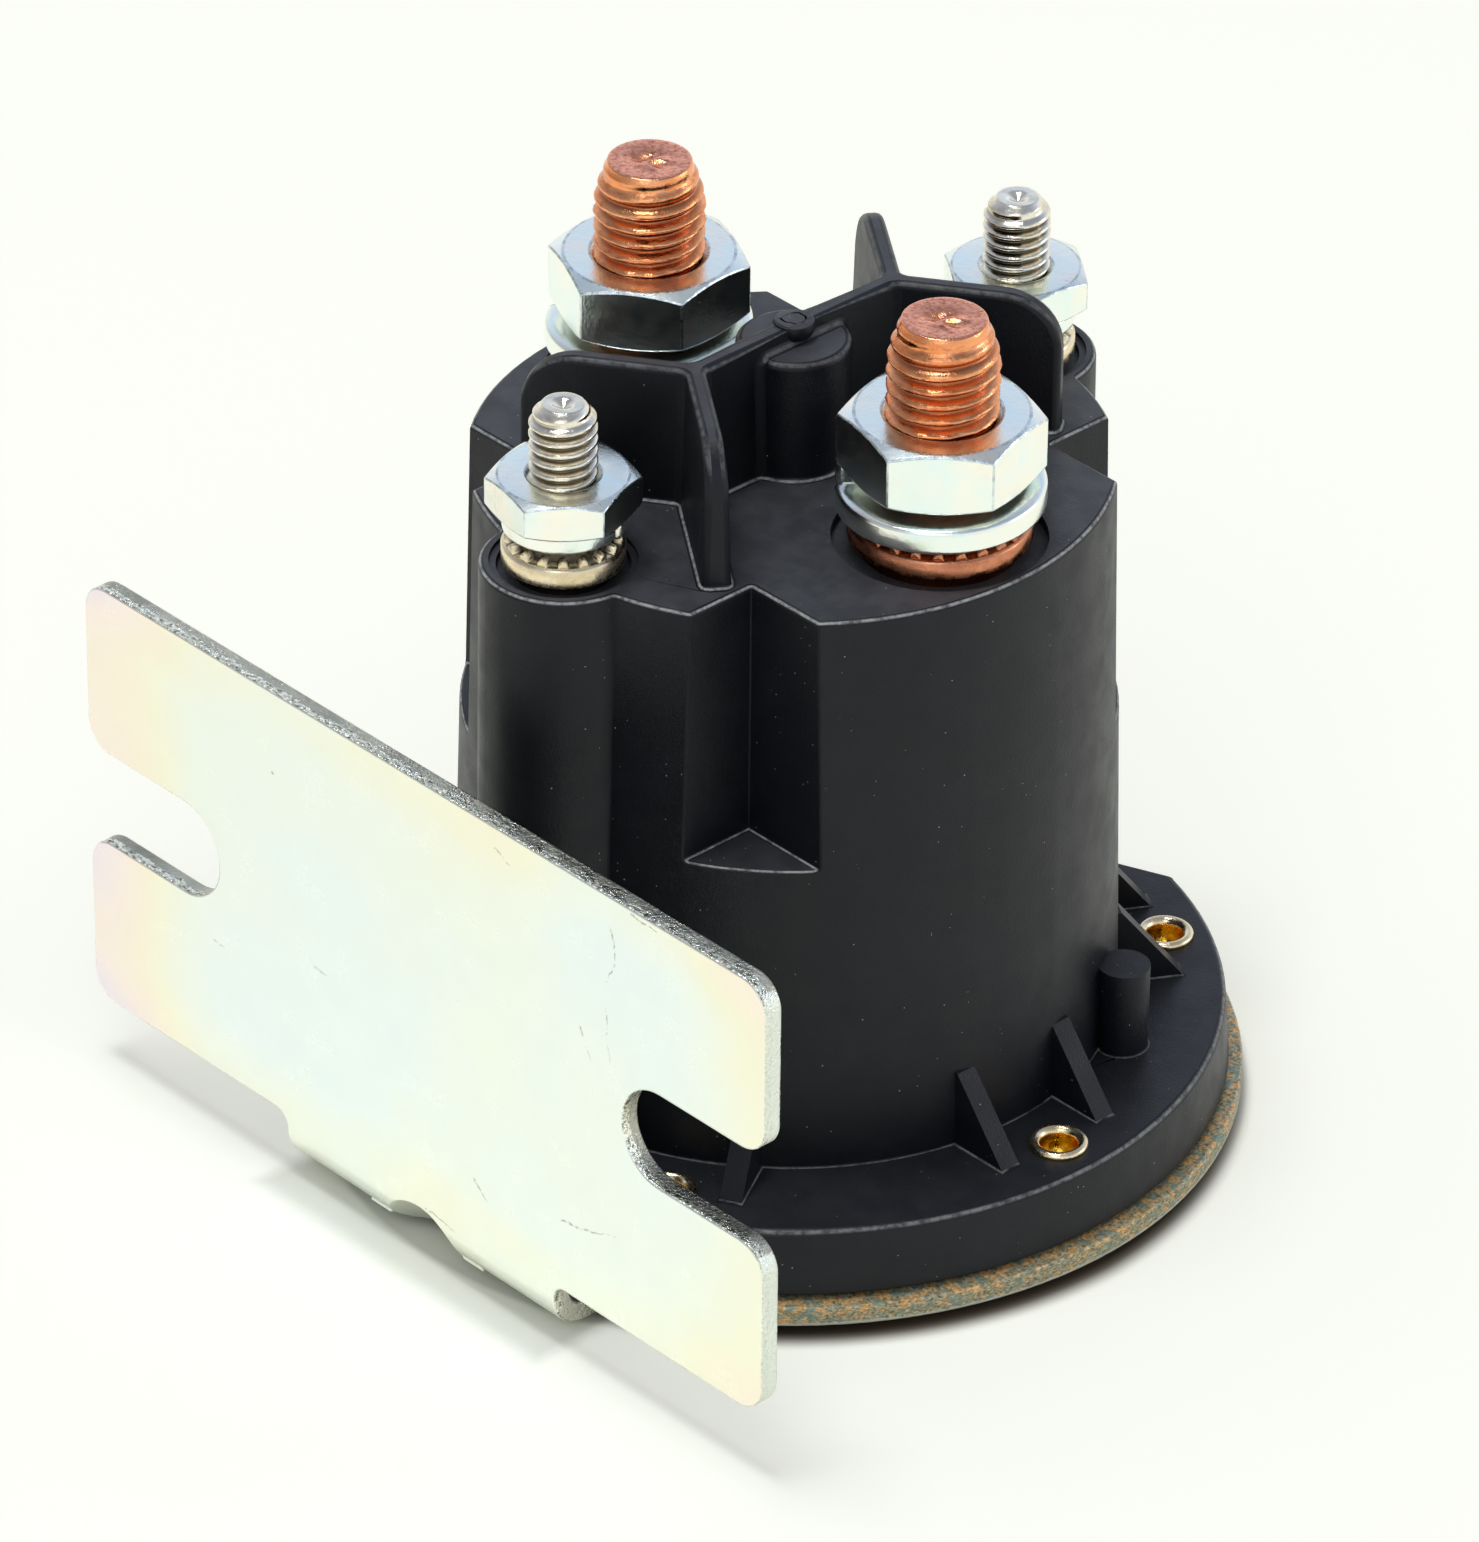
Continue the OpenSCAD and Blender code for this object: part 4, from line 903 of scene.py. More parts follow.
class Shop:
    """Mesh work that every sub-assembly uses."""

    SHARP = math.radians(32)
    FACE_WEIGHT = 80
    TOUCHING = 1e-7
    SAME_POINT = 2e-6
    FLAT = math.radians(0.4)

    @staticmethod
    def box(node: str) -> tuple[Vector, Vector]:
        """Corners of a CAD node in millimetres."""
        low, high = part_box(node)
        return low / MM, high / MM

    @staticmethod
    def link(name: str, data: bpy.types.ID) -> bpy.types.Object:
        """Makes an object in the scene.

        Args:
            name: Its name.
            data: Its mesh, lamp or camera.

        Returns:
            The object.
        """
        made = bpy.data.objects.new(name, data)
        bpy.context.scene.collection.objects.link(made)
        return made

    @staticmethod
    def lathe(
        profile: Profile, segments: int, radius_rule: Callable[[float, float, float], float] | None = None
    ) -> bmesh.types.BMesh:
        """Turns a closed or pole to pole profile about the Z axis.

        Args:
            profile: Radii and heights in millimetres. A closed ring repeats its first point at the end.
            segments: Number of steps round the axis.
            radius_rule: Gives a point's radius from its radius, height and angle.

        Returns:
            The merged mesh, in metres.
        """
        mesh = bmesh.new()
        rows = []
        for r, z in profile:
            row = []
            for step in range(segments):
                angle = FULL_TURN * step / segments
                radius = radius_rule(r, z, angle) if radius_rule else r
                x, y = radius * math.cos(angle), radius * math.sin(angle)
                row.append(mesh.verts.new((x * MM, y * MM, z * MM)))
            rows.append(row)
        for low, high in zip(rows, rows[1:]):
            for step in range(segments):
                after = (step + 1) % segments
                mesh.faces.new((low[step], low[after], high[after], high[step]))
        bmesh.ops.remove_doubles(mesh, verts=mesh.verts, dist=Shop.TOUCHING)
        bmesh.ops.recalc_face_normals(mesh, faces=mesh.faces)
        return mesh

    @classmethod
    def to_mesh(cls, source: bmesh.types.BMesh, name: str, sharp: float | None = None) -> bpy.types.Mesh:
        """Writes a mesh with smooth faces and sharp creases, and frees its source.

        Args:
            source: The mesh in work.
            name: The new mesh's name.
            sharp: Angle in radians above which an edge stays sharp.

        Returns:
            The mesh.
        """
        limit = cls.SHARP if sharp is None else sharp
        for edge in source.edges:
            edge.smooth = len(edge.link_faces) == 2 and edge.calc_face_angle(0.0) < limit
        for face in source.faces:
            face.smooth = True
        mesh = bpy.data.meshes.new(name)
        source.to_mesh(mesh)
        source.free()
        return mesh

    @staticmethod
    def join(parts: Sequence[tuple[bpy.types.Mesh, Matrix]], name: str) -> bpy.types.Mesh:
        """Joins placed meshes into one.

        Args:
            parts: Meshes and the place of each.
            name: The new mesh's name.

        Returns:
            The joined mesh, with the first part's materials.
        """
        work = bmesh.new()
        for mesh, place in parts:
            before = len(work.verts)
            work.from_mesh(mesh)
            work.verts.ensure_lookup_table()
            bmesh.ops.transform(work, matrix=place, verts=work.verts[before:])
        joined = bpy.data.meshes.new(name)
        work.to_mesh(joined)
        work.free()
        for material in parts[0][0].materials:
            joined.materials.append(material)
        return joined

    @classmethod
    def rounded(
        cls, mesh: bpy.types.Mesh, width: float, segments: int, angle: float = 0.0, edge_slot: int = -1
    ) -> bpy.types.Mesh:
        """Rounds a mesh's edges with an applied Bevel modifier.

        Args:
            mesh: The mesh.
            width: Width of the rounding in millimetres.
            segments: Steps across it.
            angle: Angle in radians above which an edge is rounded, or 0 to use the edges' own weights.
            edge_slot: Material slot for the rounded strips, or -1 for the slot beside them.

        Returns:
            A new plain mesh.
        """
        holder = cls.link("holder", mesh)
        bevel = holder.modifiers.new("Rounding", "BEVEL")
        bevel.width = width * MM
        bevel.segments = segments
        bevel.limit_method = "ANGLE" if angle else "WEIGHT"
        bevel.angle_limit = angle
        bevel.use_clamp_overlap = bool(angle)
        bevel.miter_outer = "MITER_ARC"
        bevel.material = edge_slot
        shading = holder.modifiers.new("Face shading", "WEIGHTED_NORMAL")
        shading.keep_sharp = True
        shading.weight = cls.FACE_WEIGHT
        result = cls.evaluated(holder, mesh.name)
        bpy.data.objects.remove(holder)
        return result

    @staticmethod
    def evaluated(holder: bpy.types.Object, name: str) -> bpy.types.Mesh:
        """Works out an object's modifiers.

        Args:
            holder: The object.
            name: The new mesh's name.

        Returns:
            The plain mesh.
        """
        bpy.context.view_layer.update()
        graph = bpy.context.evaluated_depsgraph_get()
        mesh = bpy.data.meshes.new_from_object(holder.evaluated_get(graph), depsgraph=graph)
        mesh.name = name
        return mesh

    @classmethod
    def piece(cls, mesh: bpy.types.Mesh, name: str, body: Body, slot: str, *nodes: str) -> bpy.types.Object:
        """Makes a finished piece that rides on a body and stands for CAD nodes.

        Args:
            mesh: The mesh, in place.
            name: The piece's name.
            body: The body that it rides on.
            slot: The record's material slot; not used.
            *nodes: The CAD nodes that it replaces.

        Returns:
            The object.
        """
        made = cls.link(name, mesh)
        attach(made, body.value)
        if nodes:
            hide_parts(*nodes)
        LOG.info("%s: %d faces on %s", name, len(mesh.polygons), body.value)
        return made

    @classmethod
    def node_copy(cls, frame: dict, node: str) -> bmesh.types.BMesh:
        """Merged copy of a CAD node's mesh with flat faces made whole.

        Args:
            frame: The loaded frame.
            node: The node's name.

        Returns:
            The copy.
        """
        work = bmesh.new()
        work.from_mesh(frame["nodes"][node].data)
        bmesh.ops.remove_doubles(work, verts=work.verts, dist=cls.SAME_POINT)
        bmesh.ops.dissolve_limit(work, angle_limit=cls.FLAT, verts=work.verts, edges=work.edges)
        return work


class Rule:
    """A Geometry Nodes tree with named sizes that is run into a plain mesh."""

    def __init__(self, name: str) -> None:
        """Starts the tree with its geometry and material sockets.

        Args:
            name: The tree's name.
        """
        self.tree = bpy.data.node_groups.new(name, "GeometryNodeTree")
        self.tree.interface.new_socket(name="Geometry", in_out="OUTPUT", socket_type="NodeSocketGeometry")
        self.names: dict[str, str] = {}
        for key in ("Geometry", "Material"):
            self._socket(key, key)
        self.g = Graph(self.tree)
        self.entry = self.g.add("NodeGroupInput")

    def _socket(self, name: str, kind: str) -> None:
        """Adds an input and keeps its identifier."""
        socket = self.tree.interface.new_socket(name=name, in_out="INPUT", socket_type=f"NodeSocket{kind}")
        self.names[name] = socket.identifier

    def sizes(self, *names: str, kind: str = "Float") -> list[Term]:
        """Adds named inputs.

        Args:
            *names: Their names.
            kind: Float or Int.

        Returns:
            Their values inside the tree.
        """
        for name in names:
            self._socket(name, kind)
        return [self.input(name) for name in names]

    def input(self, name: str) -> Term:
        """One input's value inside the tree."""
        return Term(self.g, self.entry.outputs[name])

    def grid(self, around: str, along: str) -> tuple[Term, Term, Term]:
        """Starts from a flat grid with two named counts.

        Args:
            around: Name of the count round the section.
            along: Name of the count along the piece.

        Returns:
            The grid, and each point's place around and along it between 0 and 1.
        """
        counts = self.sizes(around, along, kind="Int")
        size = {"Size X": 1.0, "Size Y": 1.0, "Vertices X": counts[0], "Vertices Y": counts[1]}
        x, y, _ = self.g.split(self.g.add("GeometryNodeInputPosition"))
        return self.g.out("GeometryNodeMeshGrid", size), x + 0.5, y + 0.5

    def moved(self, geometry: Term, x: Term, y: Term, z: Term) -> Term:
        """The geometry with its points at new places."""
        inputs = {"Geometry": geometry, "Position": self.g.vector(x, y, z)}
        return self.g.out("GeometryNodeSetPosition", inputs)

    def end(self, geometry: Term, smooth: bool = False) -> None:
        """Closes the tree with Realize Instances and Set Material.

        Args:
            geometry: The geometry.
            smooth: Whether its faces are shaded smooth and its seams merged.
        """
        g = self.g
        if smooth:
            geometry = g.out("GeometryNodeSetShadeSmooth", {"Geometry": geometry})
        real = g.out("GeometryNodeRealizeInstances", {0: geometry})
        if smooth:
            real = g.out("GeometryNodeMergeByDistance", {"Geometry": real, "Distance": WELD})
        dressed = g.out("GeometryNodeSetMaterial", {"Geometry": real, "Material": self.input("Material")})
        g.add("NodeGroupOutput", {0: dressed})

    def run(
        self, material: bpy.types.Material, lengths: dict[str, float], others: dict[str, float | int],
        source: bpy.types.Mesh | None = None,
    ) -> bpy.types.Mesh:
        """Runs the tree.

        Args:
            material: Material of the result.
            lengths: Values in millimetres for named inputs.
            others: Angles, shares and counts for named inputs.
            source: The mesh that the tree starts from.

        Returns:
            The plain mesh, with the material alone.
        """
        holder = Shop.link("holder", source or bpy.data.meshes.new("seed"))
        modifier = holder.modifiers.new("Rule", "NODES")
        modifier.node_group = self.tree
        values = {name: length * MM for name, length in lengths.items()}
        for name, value in (values | others | {"Material": material}).items():
            modifier[self.names[name]] = value
        result = Shop.evaluated(holder, self.tree.name)
        holder.modifiers.remove(modifier)
        bpy.data.objects.remove(holder)
        result.polygons.foreach_set("material_index", [0] * len(result.polygons))
        result.materials.clear()
        result.materials.append(material)
        return result


class ThreadRule(Rule):
    """Threaded end of a stud: helical crests, a cone, and an end face with a dimple or a cutting scar.

    The grid's rows up to FOOT close it below, those up to WALL make the thread, and the rest make the end
    face. ROWS is the number of rows in each turn of the thread.
    """

    FOOT = 0.03
    WALL = 0.9
    ROWS = 16

    def __init__(self) -> None:
        """Builds the tree on a grid that is rolled into the thread."""
        super().__init__("Thread")
        g = self.g
        crest, root, pitch, low, top = self.sizes(
            "Crest Radius", "Root Radius", "Pitch", "Low Height", "Top Height"
        )
        tip, cone, dimple, depth = self.sizes("Tip Radius", "Cone Height", "Dimple Radius", "Dimple Depth")
        scar, rag, flat_share = self.sizes("Scar Height", "Crest Raggedness", "Crest Share")
        grid, u, v = self.grid("Steps Around", "Rows")
        angle = u * FULL_TURN
        z = v.span(self.FOOT, self.WALL, smooth=False) * (top - low) + low
        phase = g.math("FRACT", z / pitch - u)
        form = (abs(phase - 0.5) * 2.0).span(flat_share, 0.95, 1.0, 0.0)
        round_x, round_y = g.math("COSINE", angle), g.math("SINE", angle)
        torn = g.noise(g.vector(round_x, round_y, z * 900.0), 4.0, 3.0, 0.6) - 0.5
        wide = torn * form * rag + (form * (crest - root) + root)
        slope = (top - z) / cone
        bulge = slope.larger(1.0) - (1.0 - slope.smaller(1.0)) ** 1.5
        coned = bulge * (crest - tip) + tip
        groove = (1.0 - form) * (crest - root) * (slope * 2.5).smaller(1.0)
        wide = g.math("SMOOTH_MIN", wide, coned - groove * 0.45, 0.00008)
        closing = v.span(self.WALL, 1.0, 1.0, 0.0, smooth=False)
        radius = wide * (v.span(0.0, self.FOOT, smooth=False) * closing)
        x, y = radius * round_x, radius * round_y
        sunk = (radius / dimple).span(0.0, 1.0, 1.0, 0.0, smooth=False) * depth
        lift = self._scar(x, y) * scar - sunk
        self.end(self.moved(grid, x, y, (v > self.WALL) * lift + z), smooth=True)

    def _scar(self, x: Term, y: Term) -> Term:
        """Form of the torn end face.

        Args:
            x: Place along X in metres.
            y: Place along Y in metres.

        Returns:
            Its height, as a share of the scar's height.
        """
        rough = self.g.noise(self.g.vector(x, y, 0.0), 420.0, 4.0, 0.65) - 0.5
        nib = self._bump(x, y, (0.00015, 0.0004), 0.5, (0.0011, 0.0004))
        pit = self._bump(x, y, (-0.0006, 0.0001), 0.9, (0.0008, 0.0003))
        low_nib = self._bump(x, y, (0.0004, -0.0008), 0.2, (0.0009, 0.0004))
        crater = self._bump(x, y, (0.0, 0.0), 0.4, (0.0015, 0.0012))
        return rough * 0.22 + (low_nib * 0.8 + nib - (pit + crater))

    def _bump(
        self, x: Term, y: Term, at: tuple[float, float], turn: float, reach: tuple[float, float]
    ) -> Term:
        """Long soft hill on the end face.

        Args:
            x: Place along X.
            y: Place along Y.
            at: The hill's middle in metres.
            turn: Its direction in radians.
            reach: Its length and width in metres.

        Returns:
            Height between 0 and 1.
        """
        from_x, from_y = x - at[0], y - at[1]
        along = (from_x * math.cos(turn) + from_y * math.sin(turn)) / reach[0]
        across = (from_y * math.cos(turn) - from_x * math.sin(turn)) / reach[1]
        return self.g.math("EXPONENT", (along * along + across * across) * -1.0)


class CoiledBarRule(Rule):
    """Bar of rounded section bent along a helix: split washers and wound springs."""

    END = 0.01

    def __init__(self) -> None:
        """Builds the tree on a grid that is rolled round the bar's path."""
        super().__init__("Coiled bar")
        g = self.g
        mean, half_w, half_h, low, rise = self.sizes(
            "Mean Radius", "Half Width", "Half Height", "Low Height", "Rise"
        )
        square, start, turn = self.sizes("Squareness", "Start Angle", "Turn")
        grid, u, v = self.grid("Steps Around", "Steps Along")
        section = u * -FULL_TURN
        far_end = 1.0 - self.END
        path = v.span(self.END, far_end, smooth=False)
        angle = path * turn + start
        swell = v.span(0.0, self.END, smooth=False) * v.span(far_end, 1.0, 1.0, 0.0, smooth=False)
        radius = self._corner(g.math("COSINE", section), square) * half_w * swell + mean
        height = self._corner(g.math("SINE", section), square) * half_h * swell + (path * rise + low)
        x, y = radius * g.math("COSINE", angle), radius * g.math("SINE", angle)
        self.end(self.moved(grid, x, y, height), smooth=True)

    def _corner(self, value: Term, square: Term) -> Term:
        """Pushes a sine towards its ends, so that the section grows squarer."""
        return self.g.math("SIGN", value) * abs(value) ** square


class RingOfRule(Rule):
    """Copies of a turned piece on a circle."""

    def __init__(self) -> None:
        """Builds the tree that sets the source mesh on the points of a circle."""
        super().__init__("Ring of rivets")
        g = self.g
        (radius,), (count,) = self.sizes("Circle Radius"), self.sizes("Count", kind="Int")
        circle = g.out("GeometryNodeMeshCircle", {"Vertices": count, "Radius": radius})
        turn = g.out("GeometryNodeInputIndex") * FULL_TURN / count
        rotation = g.out("FunctionNodeEulerToRotation", {0: g.vector(0.0, 0.0, turn)})
        inputs = {"Points": circle, "Instance": self.input("Geometry"), "Rotation": rotation}
        self.end(g.out("GeometryNodeInstanceOnPoints", inputs))


class ToothRule(Rule):
    """Cuts a ring of rounded gaps into the upper part of a turned collar."""

    def __init__(self) -> None:
        """Builds the tree that pulls the wall in between the teeth."""
        super().__init__("Collar teeth")
        g = self.g
        teeth, share = self.sizes("Teeth", "Gap Share")
        foot, tall, outer, root = self.sizes("Foot Height", "Tooth Height", "Tooth Radius", "Root Radius")
        x, y, z = g.split(g.add("GeometryNodeInputPosition"))
        radius = g.length(x, y)
        wave = g.math("COSINE", g.math("ARCTAN2", y, x) * teeth)
        climbed = g.math("DIVIDE", z - foot, tall, clamp=True) ** 2.0
        wide = (climbed * (1.35 - share) + share) * 2.0
        gap = wave.span(wide - 1.0, wide - 0.5, 1.0, 0.0)
        pull = gap * (z > foot) * radius.span(root, outer, smooth=False)
        factor = (pull * (root - outer) + radius) / radius
        self.end(self.moved(self.input("Geometry"), x * factor, y * factor, z))


# Sub-assemblies


@dataclass
class Housing:
    """Moulded cover with its barrier, flange, ribs, post and bosses."""

    frame: dict
    palette: Palette
    widest: float = 0.6
    barrier_round: float = 0.48
    rim_round: float = 0.42
    deck_round: float = 0.34
    notch_rounds: tuple[float, float] = (0.1, 0.24)
    foot_round: float = 0.16
    rib_round: float = 0.1
    mark_round: float = 0.07
    deck_z: float = 51.6
    seat_z: float = 50.8
    barrier_z: float = 62.2
    flange_z: float = 7.15
    notch: tuple[float, float, float] = (11.2, 14.3, 31.6)
    coil_space_r: float = 21.5
    well: tuple[float, float] = (21.6, 3.5)
    seats: tuple[float, float, float] = (15.0, 7.8, 5.3)
    rivet: tuple[float, float] = (28.4, 2.0)
    sharp: float = 34.0
    round_face: int = 60
    rim_r: float = 30.5
    rib_z: float = 15.0
    mark_r: float = 1.5
    mark_h: float = 0.25
    mark_reach: float = 1.6

    def build(self) -> None:
        """Rounds the moulded edges of a copy of the CAD shape and sets the mould mark on the barrier."""
        work = Shop.node_copy(self.frame, "housing")
        large = [face for face in work.faces if len(face.verts) > self.round_face]
        bmesh.ops.triangulate(work, faces=large)
        weight = work.edges.layers.float.new("bevel_weight_edge")
        for edge in work.edges:
            if edge.calc_face_angle(0.0) > math.radians(self.sharp):
                low, high = (vert.co / MM for vert in edge.verts)
                upright = abs((high - low).normalized().z) > 0.8
                edge[weight] = self.edge_width((low + high) / 2, upright) / self.widest
        mesh = Shop.to_mesh(work, "housing_shell", sharp=math.radians(30))
        for name in ("Housing plastic", "Housing edges"):
            mesh.materials.append(self.palette[name])
        mesh = Shop.rounded(mesh, self.widest, 3, edge_slot=1)
        mesh = Shop.join([(mesh, Matrix()), (self.mould_mark(), Matrix())], "housing_shell")
        Shop.piece(mesh, "housing_shell", Body.BASE, "housing_plastic", "housing")

    def mould_mark(self) -> bpy.types.Mesh:
        """Round mark with a torn crater on top of the barrier."""
        r = self.mark_r
        outside = [(r - 0.25, -1.2), (r - 0.02, -0.8), (r, -0.3), (r - 0.08, -0.1), (r - 0.25, -0.04)]
        crater = [
            (0.66, -0.03), (0.6, 0.0), (0.5, 0.0), (0.42, -0.12), (0.36, -0.34), (0.2, -0.4), (0.0, -0.36),
        ]
        waves = ((0.1, 2, 0.6), (0.07, 3, 2.0), (0.04, 7, 0.0))
        points = [(0, -1.2), *outside, *((r * share, depth) for share, depth in crater)]
        profile = [(radius, self.barrier_z + self.mark_h + depth) for radius, depth in points]

        def torn(radius: float, z: float, angle: float) -> float:
            """Uneven radius inside the mark, round outside."""
            wave = sum(size * math.sin(count * angle + shift) for size, count, shift in waves)
            return radius * (1 + wave) if radius < r * 0.7 else radius

        return Shop.to_mesh(Shop.lathe(profile, 48, torn), "mark", sharp=math.radians(40))

    def edge_width(self, at: Vector, upright: bool) -> float:
        """Rounding of a moulded edge.

        Args:
            at: Middle of the edge in millimetres.
            upright: Whether the edge runs up the cover.

        Returns:
            The rounding's width in millimetres, 0 for a hidden edge.
        """
        away, near, clear = at.xy.length, 0.05, 0.5
        if at.z > self.barrier_z + near or (at.z > self.barrier_z - near and away < self.mark_reach):
            return self.mark_round
        if at.z > self.deck_z + clear:
            return self.barrier_round
        if at.z > self.deck_z - near:
            return 0.0 if self.at_seat(at) else self.deck_round
        if at.z > self.seat_z - 2 * near and self.at_seat(at):
            return 0.0
        if abs(at.x) > self.notch[0] and abs(at.y) > self.notch[1] and at.z > self.notch[2]:
            return self.notch_rounds[0] if upright else self.notch_rounds[1]
        if away < self.coil_space_r or math.hypot(at.x, abs(at.y) - self.well[0]) < self.well[1]:
            return 0.0
        turn = math.radians(60)
        angle = (math.atan2(at.y, at.x) + turn / 2) % turn - turn / 2
        if math.hypot(away * math.cos(angle) - self.rivet[0], away * math.sin(angle)) < self.rivet[1]:
            return 0.0
        if at.z > self.flange_z + near:
            return self.rib_round if at.z > self.rib_z else 0.0
        return self.rim_round if away > self.rim_r and at.z > self.flange_z - near else self.foot_round

    def at_seat(self, at: Vector) -> bool:
        """Looks for a sunk seat.

        Args:
            at: A point in millimetres.

        Returns:
            Whether it is at the rim of one of the four seats.
        """
        main_x, main_r, coil_r = self.seats
        main, coil = math.hypot(abs(at.x) - main_x, at.y), math.hypot(at.x, abs(at.y) - self.well[0])
        return main < main_r or coil < coil_r


@dataclass
class Bracket:
    """Base disc, neck, bend and upright plate of one pressed sheet."""

    frame: dict
    palette: Palette
    sheet: float = 1.55
    edge_round: float = 0.16
    sharp: float = 34.0
    plate_margin: float = 0.5
    neck: tuple[float, float, float] = (14.0, 14.4, -25.0)
    dimple: tuple[float, float] = (7.5, 7.0)
    rim_share: float = 0.93
    faces_front: float = 0.7
    faces_side: float = 0.9

    def build(self) -> None:
        """Rounds a copy's edges and parts plated faces from cut edges."""
        low, high = Shop.box("base_bracket")
        work = Shop.node_copy(self.frame, "base_bracket")
        work.normal_update()
        for face in work.faces:
            face.material_index = self.slot_of(face.calc_center_median() / MM, face.normal, low, high.y)
        weight = work.edges.layers.float.new("bevel_weight_edge")
        for edge in work.edges:
            at = (edge.verts[0].co + edge.verts[1].co) / 2 / MM
            pressed = abs(at.x) < self.dimple[0] and at.y < self.neck[2] and at.z < low.z + self.dimple[1]
            if edge.calc_face_angle(0.0) > math.radians(self.sharp) and not pressed:
                edge[weight] = 1.0
        mesh = Shop.to_mesh(work, "bracket_sheet", sharp=math.radians(30))
        for name in ("Plated sheet", "Sheared edge", "Weathered rim"):
            mesh.materials.append(self.palette[name])
        mesh = Shop.rounded(mesh, self.edge_round, 2)
        Shop.piece(mesh, "bracket_sheet", Body.BASE, "plated_sheet", "base_bracket")

    def slot_of(self, at: Vector, normal: Vector, low: Vector, disc_r: float) -> int:
        """Material slot of one face.

        Args:
            at: The face's middle in millimetres.
            normal: Its direction.
            low: The bracket's lowest corner.
            disc_r: Radius of the base disc.

        Returns:
            0 for a plated face, 1 for a cut edge, 2 for the disc's rim.
        """
        if at.y < low.y + self.sheet + self.plate_margin and at.z > low.z + 2 * self.sheet:
            return 0 if abs(normal.y) > self.faces_front else 1
        if abs(at.x) < self.neck[1] and at.y < self.neck[2]:
            return 1 if abs(normal.x) > self.faces_side and abs(at.x) > self.neck[0] else 0
        return 2 if at.xy.length > disc_r * self.rim_share and normal.z > -0.5 else 0


@dataclass
class FlangeRivets:
    """Hollow rivets with rolled rims round the flange."""

    palette: Palette
    ring: RingOfRule
    count: int = 6
    shank_r: float = 1.75
    bore_r: float = 1.3
    rim_r: float = 2.15
    rim_h: float = 0.5
    head_r: float = 3.0
    head_h: float = 0.8
    bore_depth: float = 2.1

    def build(self) -> None:
        """Turns one rivet and sets it round the flange."""
        low, high = Shop.box("flange_rivets")
        foot, top = low.z, high.z
        rim_low, floor = top - self.rim_h, top - self.bore_depth
        head, rim, bore = self.head_r, self.rim_r, self.bore_r
        profile = [
            (0, foot), (head - 0.5, foot), (head - 0.12, foot + 0.18), (head, foot + 0.5),
            (head, foot + self.head_h), (self.shank_r, foot + self.head_h), (self.shank_r, rim_low),
            (rim - 0.05, rim_low + 0.02), (rim, rim_low + 0.2), (rim - 0.1, rim_low + 0.38),
            (rim - 0.3, top), (rim - 0.48, top - 0.02), (bore + 0.14, top - 0.16), (bore, top - 0.45),
            (bore, floor + 1.1), (bore - 0.2, floor + 0.5), (bore - 0.6, floor + 0.12), (0, floor),
        ]
        one = Shop.to_mesh(Shop.lathe(profile, 40), "rivet", sharp=math.radians(55))
        lengths, others = {"Circle Radius": high.x - head}, {"Count": self.count}
        mesh = self.ring.run(self.palette["Gilt rivet"], lengths, others, one)
        Shop.piece(mesh, "rolled_rivets", Body.BASE, "gilt_rivet", "flange_rivets")


@dataclass
class Terminal:
    """Where one stud stands, and how its nut and its washer's cut are turned, in degrees."""

    x: float
    y: float
    nut_turn: float
    washer_cut: float


